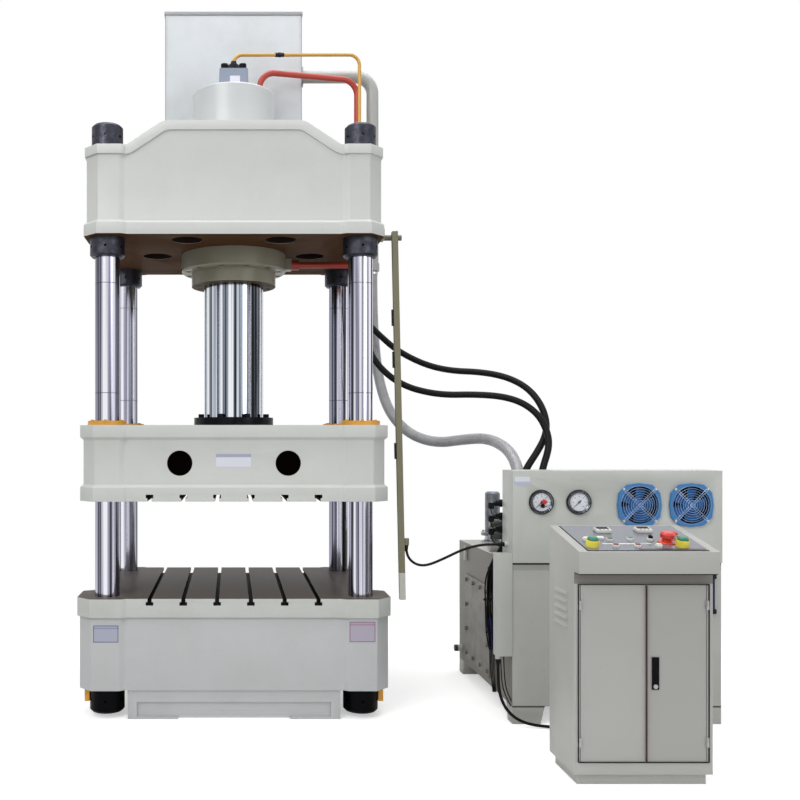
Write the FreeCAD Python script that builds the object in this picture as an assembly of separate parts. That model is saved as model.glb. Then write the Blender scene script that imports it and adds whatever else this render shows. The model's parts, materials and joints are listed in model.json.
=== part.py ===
import FreeCAD, Part
import math
import os
from collections import namedtuple

# Four-column hydraulic press, its hydraulic power unit and its control desk.
# Millimetres. The origin is the centre of the table top: +X points to the power unit,
# +Y to the back of the press and +Z up. The floor lies TABLE_HEIGHT below the origin.

Vec = FreeCAD.Vector
UP = Vec(0, 0, 1)
DOWN = Vec(0, 0, -1)
RIGHT = Vec(1, 0, 0)
BACK = Vec(0, 1, 0)
FRONT = Vec(0, -1, 0)
SIDES = (-1, 1)
QUARTERS = ((1, 1), (-1, 1), (-1, -1), (1, -1))

RUNNING_FIT = 0.05          # radial clearance of a part that slides or turns in another
SEAT_GAP = 1.0              # radial clearance of a part that only passes through a hole
OVERCUT = 6.0               # how far a cutting tool runs past the face that it opens

# ---- press: heights ----
TABLE_HEIGHT = 650.0        # floor to table top
TABLE_PLATE = 100.0         # thickness of the T-slotted table plate
BED_LEG_DROP = 391.0        # underside of the table plate to the faces that the bed nuts bear on
BED_SKID = 11.0             # height of the two skids under the bed
STROKE = 800.0              # full travel of the slide
DAYLIGHT = 1250.0           # table to slide with the slide fully up
REST_OPENING = 518.0        # table to slide in the pose of the photograph
SLIDE_HEIGHT = 408.0
HEAD_ROOM = 286.0           # top of the raised slide to the underside of the crown
CROWN_BOSS_HEIGHT = 477.0   # underside of the crown to the faces that the upper nuts bear on
CROWN_HUMP_RISE = 132.0     # raised middle of the crown over its column bosses

# ---- press: plan sizes ----
COLUMN_X = 690.0
COLUMN_DIAMETER = 135.0
COLUMN_END = 8.0            # nut face to the end of the column
BEAM_HALF_DEPTH = 613.0     # half depth of the beams over their flanges
COLUMN_INSET_Y = 138.0      # column axes behind the front of the beams
BEAM_CHAMFER = 70.0
BOSS_INNER_X = 612.0        # inner edge of a column boss, seen from the front
BOSS_REACH_Y = 130.0        # column axis to the inner edge of its boss, seen from the side
FRONT_RECESS = 18.0
RECESS_STEP = 26.0          # width of the soft step between a boss and the recessed wall
STEP_RADIUS = 22.0
BED_HALF_WIDTH = 832.0
BED_LIP = 13.0              # how far the table plate stands out of the bed
BED_SIDE_RECESS = 62.0
SLIDE_HALF_WIDTH = 813.0
SLIDE_LIP = 17.0
SLIDE_SIDE_RECESS = 95.0
SLIDE_LOWER_FLANGE = 75.0
SLIDE_UPPER_FLANGE = 65.0
CROWN_HALF_WIDTH = 795.0
CROWN_LOWER_LIP = 16.0
CROWN_UPPER_LIP = 10.0
CROWN_SIDE_RECESS = 66.0
CROWN_LOWER_FLANGE = 62.0
CROWN_UPPER_FLANGE = 50.0
HUMP_FOOT_X = 575.0         # where the crown's slopes start
HUMP_TOP_X = 376.0          # where the crown's slopes end
HUMP_FOOT_RADIUS = 70.0
HUMP_TOP_RADIUS = 120.0
FLANGE_BEVEL = 14.0         # height of the bevel between a beam's flange and its wall

# ---- bed ----
BED_BLOCK_X = 570.0         # half width of the block between the bed's legs
BED_BLOCK_INSET = 14.0      # front of that block behind the bed's front wall
SKID_INNER_X = 300.0
BED_PANEL_X = 520.0         # half width of the recessed panel in the block's front
BED_PANEL_DEPTH = 16.0
BED_PANEL_HEIGHT = 82.0
SLOT_PITCH = 180.0
SLOT_COUNT = 6
SLOT_THROAT = 22.0
SLOT_THROAT_DEPTH = 18.0
SLOT_HEAD = 40.0
SLOT_HEAD_DEPTH = 18.0

# ---- column nuts ----
UPPER_NUT_DIAMETER = 170.0
UPPER_NUT_HEIGHT = 135.0
LOWER_NUT_DIAMETER = 189.0
LOWER_NUT_HEIGHT = 106.0
BED_NUT_DIAMETER = 188.0
BED_NUT_HEIGHT = 133.0
NUT_CHAMFER = 12.0
TOMMY_HOLES = 6
TOMMY_DIAMETER = 15.0
TOMMY_DEPTH = 22.0
LOCK_PLATE_WIDTH = 62.0
LOCK_PLATE_HEIGHT = 79.0
LOCK_PLATE_THICKNESS = 26.0

# ---- cylinder and ram ----
RAM_DIAMETER = 355.0
PISTON_DIAMETER = 400.0
PISTON_HEIGHT = 120.0
PISTON_LOW_GAP = 23.0       # piston to gland with the slide fully down
PISTON_HIGH_GAP = 16.0      # piston to cylinder head with the slide fully up
CYLINDER_HEAD = 100.0
CYLINDER_DIAMETER = 487.0
CYLINDER_FLANGE_DIAMETER = 620.0
CYLINDER_FLANGE = 105.0
CYLINDER_EDGE = 10.0
GLAND_DIAMETER = 500.0
GLAND_HEIGHT = 80.0
GLAND_SCREWS = 12
GLAND_SCREW_DIAMETER = 34.0
GLAND_SCREW_HEAD = 18.0
GLAND_SCREW_RECESS = 5.0     # screw head inside its counterbore
SCREW_SOCKET_SHARE = 0.5     # socket across its corners, as a share of the head
SCREW_SOCKET_DEPTH = 10.0
FILL_PORT_DIAMETER = 120.0
CLAMP_RING_DIAMETER = 472.0
CLAMP_RING_HEIGHT = 52.0
CLAMP_SCREWS = 8
CLAMP_SCREW_DIAMETER = 34.0
CLAMP_SCREW_HEAD = 20.0
PORT_BLOCK_REACH = 34.0     # port block beyond the rim of the cylinder flange
PORT_BLOCK_WIDTH = 70.0
PORT_BLOCK_HEIGHT = 64.0

# ---- slide guides ----
BUSH_DIAMETER = 165.0
BUSH_LENGTH = 150.0
WIPER_DIAMETER = 213.0
WIPER_HEIGHT = 24.0

# ---- weight-saving cells of the weldments ----
RELIEF_DIAMETER = 170.0
RELIEF_SIDE_X = 455.0
RELIEF_FRONT_X = 257.0
RELIEF_INSET_Y = 172.0       # front and back relief holes behind the face of the crown
RELIEF_CELL = 250.0         # width of a crown cell over its relief hole
RELIEF_CELL_DEPTH = 220.0
LIFT_HOLE_DIAMETER = 135.0
LIFT_HOLE_X = 290.0
LIFT_HOLE_RISE = 204.0      # lifting hole above the slide's underside
SLIDE_WALL = 32.0
SLIDE_CELL_WIDTH = 250.0
SLIDE_CELL_HEIGHT = 220.0
SLIDE_CELL_DEPTH = 380.0

# ---- prefill valve on the cylinder head ----
VALVE_WIDTH = 176.0
VALVE_TOP_WIDTH = 168.0
VALVE_HEIGHT = 141.0
VALVE_EDGE = 10.0
VALVE_SCREW_DIAMETER = 44.0
VALVE_SCREW_HEIGHT = 32.0
VALVE_SCREW_INSET = 30.0
VALVE_FITTING_DIAMETER = 54.0
VALVE_FITTING_HEIGHT = 40.0

# ---- oil tank on the crown ----
TANK_HALF_WIDTH = 430.0
TANK_FRONT_Y = 280.0
TANK_DEPTH = 360.0
TANK_HEIGHT = 968.0
TANK_EDGE = 12.0
TANK_LID = 21.0
TANK_LID_LIP = 5.0

# ---- rigid pipes ----
RETURN_PIPE_DIAMETER = 76.0
RETURN_PIPE_REACH_X = 90.0   # pipe's axis beyond the crown's side
RETURN_PIPE_Y = 345.0
RETURN_PIPE_RISE = 604.0    # pipe's axis above the crown's raised top
RETURN_PIPE_BEND = 110.0
RETURN_PIPE_LOW_Z = 1920.0
RETURN_COLLAR = 12.0
PRESSURE_PIPE_DIAMETER = 36.0
PRESSURE_PIPE_BEND = 95.0
UPPER_PIPE_START_X = 161.0
UPPER_PIPE_START_Y = 130.0
UPPER_PIPE_RISE = 205.0     # pipe's axis above the cylinder head
UPPER_PIPE_INSET_X = 20.0    # pipe's axis inside the crown's side
UPPER_PIPE_BOSS_GAP = 80.0   # pipe's axis in front of the crown's back boss
UPPER_PIPE_LOW_Z = 1790.0
LOWER_PIPE_REACH_X = 5.0     # pipe's axis beyond the crown's side
LOWER_PIPE_LOW_Z = 1530.0
PILOT_PIPE_DIAMETER = 21.0
PILOT_PIPE_BEND = 60.0
PILOT_PIPE_RISE = 72.0      # pipe's axis above the fitting
PILOT_PIPE_SLOPE = 84.0     # how much the pipe climbs to the right
PILOT_PIPE_INSET_X = 14.0    # pipe's axis inside the crown's side
PILOT_PIPE_GAP = 70.0        # pipe's axis in front of the upper pressure pipe
PILOT_BLOCK_HEIGHT = 50.0
PILOT_BLOCK_REACH = 22.0    # block beyond the pipe's axis
UNION_DIAMETER = 58.0
UNION_LENGTH = 46.0

# ---- limit-switch rail ----
RAIL_TOP_X = 880.0
RAIL_TOP_Z = 1987.0
RAIL_FOOT_X = 923.0
RAIL_FOOT_Z = -27.0
RAIL_Y = -458.0
RAIL_WIDTH = 32.0
RAIL_DEPTH = 30.0
RAIL_WALL = 5.0
RAIL_ARM_DIAMETER = 31.0
RAIL_ARM_END = 26.0         # arm beyond the rail
ARM_PLATE = 14.0
ARM_PLATE_WIDTH = 70.0
ARM_PLATE_HEIGHT = 58.0
SWITCH_LENGTH = 88.0
SWITCH_WIDTH = 15.0
SWITCH_DEPTH = 22.0
SWITCH_HEIGHTS = (1560.0, 1330.0, 830.0)

# ---- power unit ----
UNIT_LEFT_X = 1464.0
UNIT_WIDTH = 1100.0
UNIT_FRONT_Y = -664.0
UNIT_DEPTH = 1108.0
UNIT_BOTTOM_RISE = 94.0     # reservoir above the floor
RESERVOIR_SETBACK = 12.0    # reservoir behind the front of the panel box
UNIT_HEIGHT = 756.0
UNIT_FOOT_LENGTH = 172.0
UNIT_FOOT_DEPTH = 105.0
UNIT_FOOT_TAPER = 22.0
HATCH_INSET_Y = 190.0       # hatch plate from the back corner of the reservoir's left side
HATCH_WIDTH = 520.0
HATCH_HEIGHT = 520.0
HATCH_PLATE = 12.0
HATCH_RISE = 46.0           # hatch plate above the bottom of the reservoir
HATCH_SCREWS = 4            # screws along each edge of the hatch
HATCH_SCREW_DIAMETER = 24.0
HATCH_SCREW_HEAD = 12.0
HATCH_SCREW_INSET = 32.0
DRAIN_DIAMETER = 42.0
DRAIN_LENGTH = 48.0
DRAIN_INSET_Y = 60.0
DRAIN_RISE = 70.0
TERMINAL_WIDTH = 84.0
TERMINAL_DEPTH = 62.0
TERMINAL_BOTTOM_Z = -292.0
TERMINAL_HEIGHT = 540.0
TERMINAL_INSET = 6.0

# ---- instrument box of the power unit ----
BOX_HEIGHT = 485.0
BOX_DEPTH = 185.0
GAUGE_DIAMETER = 132.0
GAUGE_BEZEL = 16.0
GAUGE_BEZEL_WALL = 8.0
GAUGE_CASE_DIAMETER = 104.0
GAUGE_CASE_DEPTH = 42.0
GAUGE_DIAL_DEPTH = 12.0
GAUGE_GLASS = 2.0
GAUGE_INSETS = (149.0, 345.0)   # gauges from the left side of the panel box
GAUGE_Z = 520.0
NEEDLE_LENGTH = 42.0
NEEDLE_TAIL = 14.0
NEEDLE_WIDTH = 5.0
NEEDLE_THICKNESS = 1.2
NEEDLE_HUB = 6.0
NEEDLE_ZERO = 225.0         # degrees from the X axis that the needle points to at no pressure
SPINDLE_DIAMETER = 3.0
FAN_INSETS = (439.0, 167.0)     # fans from the right side of the panel box
FAN_Z = 505.0
FAN_SIZE = 213.0
FAN_BULGE = 8.0
FAN_CORNER = 42.0
FAN_RIM = 12.0              # how far the fan's frame stands out of the panel
FAN_DEPTH = 78.0
FAN_BORE = 196.0
FAN_BLADES = 5
FAN_BLADE_WIDTH = 86.0       # at the tip
FAN_BLADE_ROOT = 40.0        # width at the hub
FAN_BLADE_THICKNESS = 3.0
FAN_BLADE_PITCH = 27.0
FAN_TIP_GAP = 5.0
FAN_HUB_DIAMETER = 66.0
FAN_HUB_DEPTH = 40.0
FAN_MOTOR_DIAMETER = 60.0
FAN_MOTOR_DEPTH = 26.0
FAN_STRUT = 12.0
FAN_SHAFT_DIAMETER = 8.0
GUARD_WIRE = 3.0
GUARD_RINGS = 4
GUARD_RING_STEP = 22.0
GUARD_BRACE_GAP = 11.0
GUARD_BRACE_LENGTH = 205.0

# ---- motor, pump and valves on the reservoir ----
MOTOR_DIAMETER = 330.0
MOTOR_LENGTH = 460.0
MOTOR_AXIS_RISE = 200.0
MOTOR_X = 1980.0            # drive end of the motor
MOTOR_Y = -90.0
MOTOR_FOOT_WIDTH = 250.0
MOTOR_FOOT_THICKNESS = 24.0
MOTOR_BOX = 110.0
BELL_DIAMETER = 250.0
BELL_LENGTH = 110.0
PUMP_DIAMETER = 190.0
PUMP_LENGTH = 190.0
MANIFOLD_X = 1510.0
MANIFOLD_WIDTH = 250.0
MANIFOLD_Y = -474.0
MANIFOLD_DEPTH = 150.0
MANIFOLD_HEIGHT = 210.0
VALVE_BODY = 46.0
SOLENOID_DIAMETER = 44.0
SOLENOID_LENGTH = 66.0
SOLENOID_ROWS = 3
FILTER_INSET_X = 181.0       # filter from the reservoir's left side
FILTER_INSET_Y = 114.0       # filter from the reservoir's back
FILTER_DIAMETER = 92.0
FILTER_HEIGHT = 262.0
FILTER_FLANGE_DIAMETER = 140.0
FILTER_FLANGE = 14.0
FILTER_BASE_DIAMETER = 88.0
FILTER_BASE_HEIGHT = 42.0

# ---- hoses and cables ----
HOSE_DIAMETER = 38.0
RETURN_HOSE_DIAMETER = 64.0
SWITCH_CABLE_DIAMETER = 14.0
DESK_CABLE_DIAMETER = 16.0
CORD_ARC_SHARE = 0.45       # share of the shorter run that an arc may use
GLAND_NUT_DIAMETER = 30.0
GLAND_NUT_LENGTH = 18.0

# ---- control desk ----
DESK_WIDTH = 600.0
DESK_LEFT_X = 1468.0
DESK_FRONT_Y = -1495.0
DESK_DEPTH = 300.0
DESK_SHEET = 4.0
DESK_PLINTH = 48.0
DESK_PLINTH_INSET = 20.0
DESK_BOTTOM_Z = -602.0
DESK_HEAD_Z = 275.0         # underside of the overhanging head
DESK_FASCIA = 94.0
DESK_OVERHANG = 60.0
DESK_BACK_Z = 448.0
DOOR_OPENING_LEFT = 25.0    # frame beside the doors
DOOR_BOTTOM_Z = -549.0
DOOR_TOP_Z = 223.0
DOOR_SPLIT_X = 1779.0
DOOR_GAP = 3.0
DOOR_THICKNESS = 20.0
DOOR_SHEET = 2.5
HINGE_RADIUS = 6.0
HINGE_PIN_RADIUS = 3.0
HINGE_HEIGHTS = (112.0, -481.0)
HINGE_LEAF = 20.0           # height of one half of a hinge
HINGE_FACE_GAP = 0.5
LOUVRE_ROWS = 5
LOUVRE_LENGTH = 150.0
LOUVRE_PITCH = 36.0
LOUVRE_HEIGHT = 16.0
LOUVRE_DEPTH = 9.0
LOUVRE_TOP_Z = 180.0
LOCK_X = 1818.0
LOCK_TOP_Z = -92.0
LOCK_WIDTH = 32.0
LOCK_HEIGHT = 141.0
LOCK_RIM = 4.0
LOCK_PROUD = 5.0
LOCK_RECESS = 9.0
LEVER_HEIGHT = 98.0
LEVER_THICKNESS = 7.0
LEVER_GAP = 1.0
LEVER_PIN_DIAMETER = 3.0
KEY_DIAMETER = 19.0
PANEL_MARGIN_X = 42.0
PANEL_MARGIN_Y = 14.0
PANEL_PLATE = 3.0
BEZEL_DIAMETER = 30.0
BEZEL_HEIGHT = 7.0
CAP_DIAMETER = 22.4
CAP_HEIGHT = 10.0
CAP_STEM_DIAMETER = 9.0
CAP_STEM_LENGTH = 34.0
CAP_TRAVEL = 3.0
PALM_SHROUD_DIAMETER = 56.0
PALM_SHROUD_HEIGHT = 30.0
PALM_CAP_DIAMETER = 46.0
PALM_CAP_HEIGHT = 14.0
STOP_CAP_DIAMETER = 60.0
STOP_CAP_HEIGHT = 24.0
STOP_COLLAR_DIAMETER = 40.0
STOP_COLLAR_HEIGHT = 16.0
PALM_TRAVEL = 6.0
TIMER_WIDTH = 76.0
TIMER_DEPTH = 54.0
TIMER_HEIGHT = 16.0
LAMP_DIAMETER = 34.0
LAMP_HEIGHT = 22.0

# ---- heights that follow from the driving dimensions ----
FLOOR_Z = -TABLE_HEIGHT
TABLE_BOTTOM_Z = -TABLE_PLATE
BED_LEG_Z = TABLE_BOTTOM_Z - BED_LEG_DROP
COLUMN_FOOT_Z = BED_LEG_Z - BED_NUT_HEIGHT
SLIDE_BOTTOM_Z = REST_OPENING
SLIDE_TOP_Z = SLIDE_BOTTOM_Z + SLIDE_HEIGHT
STROKE_UP = DAYLIGHT - REST_OPENING
CROWN_BOTTOM_Z = DAYLIGHT + SLIDE_HEIGHT + HEAD_ROOM
CROWN_BOSS_Z = CROWN_BOTTOM_Z + CROWN_BOSS_HEIGHT
CROWN_TOP_Z = CROWN_BOSS_Z + CROWN_HUMP_RISE
COLUMN_TOP_Z = CROWN_BOSS_Z + UPPER_NUT_HEIGHT - COLUMN_END
GLAND_TOP_Z = CROWN_BOTTOM_Z - CYLINDER_FLANGE
GLAND_BOTTOM_Z = GLAND_TOP_Z - GLAND_HEIGHT
BORE_TOP_Z = GLAND_TOP_Z + PISTON_LOW_GAP + PISTON_HEIGHT + STROKE + PISTON_HIGH_GAP
CYLINDER_TOP_Z = BORE_TOP_Z + CYLINDER_HEAD
PISTON_TOP_Z = BORE_TOP_Z - PISTON_HIGH_GAP - STROKE_UP
VALVE_TOP_Z = CYLINDER_TOP_Z + VALVE_HEIGHT
UNIT_BOTTOM_Z = FLOOR_Z + UNIT_BOTTOM_RISE
UNIT_TOP_Z = UNIT_BOTTOM_Z + UNIT_HEIGHT
UNIT_RIGHT_X = UNIT_LEFT_X + UNIT_WIDTH
UNIT_BACK_Y = UNIT_FRONT_Y + UNIT_DEPTH
RESERVOIR_FRONT_Y = UNIT_FRONT_Y + RESERVOIR_SETBACK
GAUGE_X = [UNIT_LEFT_X + inset for inset in GAUGE_INSETS]
FAN_X = [UNIT_RIGHT_X - inset for inset in FAN_INSETS]
DESK_CENTRE_X = DESK_LEFT_X + DESK_WIDTH / 2
DESK_BACK_Y = DESK_FRONT_Y + DESK_DEPTH
DESK_HEAD_Y = DESK_FRONT_Y - DESK_OVERHANG
DESK_EDGE_Z = DESK_HEAD_Z + DESK_FASCIA
DESK_SLOPE = math.atan2(DESK_BACK_Z - DESK_EDGE_Z, DESK_BACK_Y - DESK_HEAD_Y)
DESK_SLOPE_LENGTH = math.hypot(DESK_BACK_Z - DESK_EDGE_Z, DESK_BACK_Y - DESK_HEAD_Y)

PILOT_BLOCK_Z = CROWN_BOTTOM_Z + CROWN_LOWER_FLANGE + FLANGE_BEVEL
PILOT_PIPE_LOW_Z = PILOT_BLOCK_Z + PILOT_BLOCK_HEIGHT

COLUMN_Y = BEAM_HALF_DEPTH - COLUMN_INSET_Y
BOSS_INNER_Y = COLUMN_Y - BOSS_REACH_Y
RELIEF_FRONT_Y = BEAM_HALF_DEPTH - RELIEF_INSET_Y
UPPER_PIPE_X = CROWN_HALF_WIDTH - UPPER_PIPE_INSET_X
UPPER_PIPE_Y = BOSS_INNER_Y - UPPER_PIPE_BOSS_GAP
LOWER_PIPE_X = CROWN_HALF_WIDTH + LOWER_PIPE_REACH_X
PILOT_PIPE_X = CROWN_HALF_WIDTH - PILOT_PIPE_INSET_X
PILOT_PIPE_Y = UPPER_PIPE_Y - PILOT_PIPE_GAP
RETURN_PIPE_X = CROWN_HALF_WIDTH + RETURN_PIPE_REACH_X
FILTER_X = UNIT_LEFT_X + FILTER_INSET_X
FILTER_Y = UNIT_BACK_Y - FILTER_INSET_Y
COLUMN_PLACES = [Vec(sx * COLUMN_X, sy * COLUMN_Y, 0) for sx, sy in QUARTERS]
SLOT_PLACES = [(index - (SLOT_COUNT - 1) / 2) * SLOT_PITCH for index in range(SLOT_COUNT)]

BeamPlan = namedtuple("BeamPlan", "half_width lip side_recess")
BED_PLAN = BeamPlan(BED_HALF_WIDTH, BED_LIP, BED_SIDE_RECESS)
SLIDE_PLAN = BeamPlan(SLIDE_HALF_WIDTH, SLIDE_LIP, SLIDE_SIDE_RECESS)
CROWN_PLAN = BeamPlan(CROWN_HALF_WIDTH, CROWN_LOWER_LIP, CROWN_SIDE_RECESS)


# ---------------------------------------------------------------- helpers
def block(x0, x1, y0, y1, z0, z1):
    return Part.makeBox(x1 - x0, y1 - y0, z1 - z0, Vec(x0, y0, z0))


def rod(start, direction, diameter, length):
    return Part.makeCylinder(diameter / 2, length, start, direction)


def tube(start, direction, outer, inner, length):
    return rod(start, direction, outer, length).cut(rod(start, direction, inner, length))


def in_plan(z):
    return lambda u, v: Vec(u, v, z)


def in_front(y):
    return lambda u, v: Vec(u, y, v)


def in_side(x):
    return lambda u, v: Vec(x, u, v)


def bend(before, here, after, radius):
    """Start, middle and end of the arc that rounds a corner."""
    back = (before - here).normalize()
    ahead = (after - here).normalize()
    half_angle = back.getAngle(ahead) / 2
    reach = radius / math.tan(half_angle)
    inward = (back + ahead).normalize()
    middle = here + inward * (radius / math.sin(half_angle) - radius)
    return here + back * reach, middle, here + ahead * reach


def outline(corners, place):
    """Closed wire through (u, v, radius) corners, each rounded by its own radius."""
    points = [place(u, v) for u, v, radius in corners]
    bends = []
    for index, (u, v, radius) in enumerate(corners):
        here = points[index]
        if radius > 0:
            bends.append(bend(points[index - 1], here, points[(index + 1) % len(points)], radius))
        else:
            bends.append((here, None, here))
    edges = []
    for index, (start, middle, end) in enumerate(bends):
        if middle is not None:
            edges.append(Part.Arc(start, middle, end).toShape())
        edges.append(Part.LineSegment(end, bends[(index + 1) % len(bends)][0]).toShape())
    return Part.Wire(edges)


def prism(corners, place, direction):
    return Part.Face(outline(corners, place)).extrude(direction)


def path_wire(points, radii):
    """Open path of straight runs joined by tangent arcs; one radius for each inner point."""
    edges = []
    cursor = points[0]
    for index, radius in enumerate(radii, start=1):
        start, middle, end = bend(points[index - 1], points[index], points[index + 1], radius)
        edges.append(Part.LineSegment(cursor, start).toShape())
        edges.append(Part.Arc(start, middle, end).toShape())
        cursor = end
    edges.append(Part.LineSegment(cursor, points[-1]).toShape())
    return Part.Wire(edges)


def sweep(points, radii, diameter):
    spine = path_wire(points, radii)
    ring = Part.Circle(points[0], points[1] - points[0], diameter / 2).toShape()
    return spine, spine.makePipeShell([Part.Wire(ring)], True, False)


def pipe(points, diameter, radius):
    """Bent steel tube."""
    return sweep(points, [radius] * (len(points) - 2), diameter)[1]


def cord(name, route, diameter):
    """Hose or cable that hangs: every arc is as large as its two runs allow."""
    points = [Vec(*place) for place in route]
    radii = []
    for before, here, after in zip(points, points[1:], points[2:]):
        half_turn = (here - before).getAngle(after - here) / 2
        shorter = min((here - before).Length, (after - here).Length)
        radii.append(CORD_ARC_SHARE * shorter / math.tan(half_turn))
    spine, solid = sweep(points, radii, diameter)
    expected = math.pi * diameter ** 2 / 4 * spine.Length
    print("%s: length %.0f, least radius %.0f, volume ratio %.4f, radii %s" % (
        name, spine.Length, min(radii), solid.Volume / expected,
        " ".join("%.0f" % radius for radius in radii)))
    return solid


def fuse(shapes):
    return shapes[0].multiFuse(shapes[1:]).removeSplitter()


def group(shapes):
    """Like pieces that share a node, each still its own solid."""
    return Part.makeCompound(shapes)


def around(shape, count, centre, axis, first=0.0):
    copies = []
    for index in range(count):
        copy = shape.copy()
        copy.rotate(centre, axis, first + 360.0 * index / count)
        copies.append(copy)
    return copies


def chamfered_rod(start, direction, diameter, length, chamfer):
    """Cylinder with its far end chamfered."""
    straight = rod(start, direction, diameter, length - chamfer)
    nose = Part.makeCone(diameter / 2, diameter / 2 - chamfer, chamfer,
                         start + direction * (length - chamfer), direction)
    return straight.fuse(nose).removeSplitter()


# ---------------------------------------------------------------- beams of the press
def beam_outline(plan, z, lip):
    """Four chamfered column bosses joined by recessed walls, grown outwards by lip."""
    out_x = plan.half_width + lip
    out_y = BEAM_HALF_DEPTH - plan.lip + lip
    chamfer = BEAM_CHAMFER + lip * (2 - math.sqrt(2))
    boss_x = BOSS_INNER_X - lip
    boss_y = BOSS_INNER_Y - lip
    quarter = [
        (boss_x - RECESS_STEP, FRONT_RECESS - out_y, STEP_RADIUS),
        (boss_x, -out_y, STEP_RADIUS),
        (out_x - chamfer, -out_y, 0),
        (out_x, chamfer - out_y, 0),
        (out_x, -boss_y, STEP_RADIUS),
        (out_x - plan.side_recess, RECESS_STEP - boss_y, STEP_RADIUS),
    ]
    corners = []
    for sx, sy in ((1, 1), (1, -1), (-1, -1), (-1, 1)):
        part = [(sx * x, sy * y, radius) for x, y, radius in quarter]
        corners += part if sx * sy > 0 else part[::-1]
    return outline(corners, in_plan(z))


def beam_layer(plan, z0, z1, lip):
    return Part.Face(beam_outline(plan, z0, lip)).extrude(Vec(0, 0, z1 - z0))


def beam_bevel(plan, wide_z, narrow_z, lip):
    wires = [beam_outline(plan, wide_z, lip), beam_outline(plan, narrow_z, 0)]
    return Part.makeLoft(wires, True, True)


def column_bores(diameter, z0, z1):
    return [rod(Vec(place.x, place.y, z0 - OVERCUT), UP, diameter, z1 - z0 + 2 * OVERCUT)
            for place in COLUMN_PLACES]


def slot_cutters(face_z, inward):
    """T-slots that run from front to back in a face; inward is the Z direction into the plate."""
    half_throat = SLOT_THROAT / 2
    half_head = SLOT_HEAD / 2
    neck_z = face_z + inward * SLOT_THROAT_DEPTH
    floor_z = neck_z + inward * SLOT_HEAD_DEPTH
    open_z = face_z - inward * OVERCUT
    start_y = -BEAM_HALF_DEPTH - OVERCUT
    run = Vec(0, -2 * start_y, 0)
    cutters = []
    for x in SLOT_PLACES:
        corners = [(x - half_throat, open_z, 0), (x - half_throat, neck_z, 0),
                   (x - half_head, neck_z, 0), (x - half_head, floor_z, 0),
                   (x + half_head, floor_z, 0), (x + half_head, neck_z, 0),
                   (x + half_throat, neck_z, 0), (x + half_throat, open_z, 0)]
        cutters.append(prism(corners, in_front(start_y), run))
    return cutters


def bed_table():
    plate = beam_layer(BED_PLAN, TABLE_BOTTOM_Z, 0, BED_LIP)
    bores = column_bores(COLUMN_DIAMETER + 2 * RUNNING_FIT, TABLE_BOTTOM_Z, 0)
    return plate.cut(slot_cutters(0, -1) + bores).removeSplitter()


def bed_box():
    walls = beam_layer(BED_PLAN, BED_LEG_Z, TABLE_BOTTOM_Z, 0)
    block_y = BEAM_HALF_DEPTH - BED_LIP - FRONT_RECESS - BED_BLOCK_INSET
    skid_z = FLOOR_Z + BED_SKID
    middle = block(-BED_BLOCK_X, BED_BLOCK_X, -block_y, block_y, skid_z, BED_LEG_Z + OVERCUT)
    skids = [block(min(side * SKID_INNER_X, side * BED_BLOCK_X),
                   max(side * SKID_INNER_X, side * BED_BLOCK_X),
                   -block_y, block_y, FLOOR_Z, skid_z) for side in SIDES]
    panels = [block(-BED_PANEL_X, BED_PANEL_X,
                    min(side * block_y, side * (block_y - BED_PANEL_DEPTH)),
                    max(side * block_y, side * (block_y - BED_PANEL_DEPTH)),
                    skid_z, skid_z + BED_PANEL_HEIGHT) for side in SIDES]
    bores = column_bores(COLUMN_DIAMETER + 2 * RUNNING_FIT, BED_LEG_Z, TABLE_BOTTOM_Z)
    return fuse([walls, middle] + skids).cut(panels + bores).removeSplitter()


def hump_prism(foot_x, top_x, drop, foot_radius, top_radius, base_z, half_depth):
    """Raised middle of the crown: the area under its sloping top line, from front to back."""
    end_x = BOSS_INNER_X - RECESS_STEP
    foot_z = CROWN_BOSS_Z - drop
    top_z = CROWN_TOP_Z - drop
    corners = [(-end_x, base_z, 0), (end_x, base_z, 0), (end_x, foot_z, 0),
               (foot_x, foot_z, foot_radius), (top_x, top_z, top_radius),
               (-top_x, top_z, top_radius), (-foot_x, foot_z, foot_radius), (-end_x, foot_z, 0)]
    return prism(corners, in_front(-half_depth), Vec(0, 2 * half_depth, 0))


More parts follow.
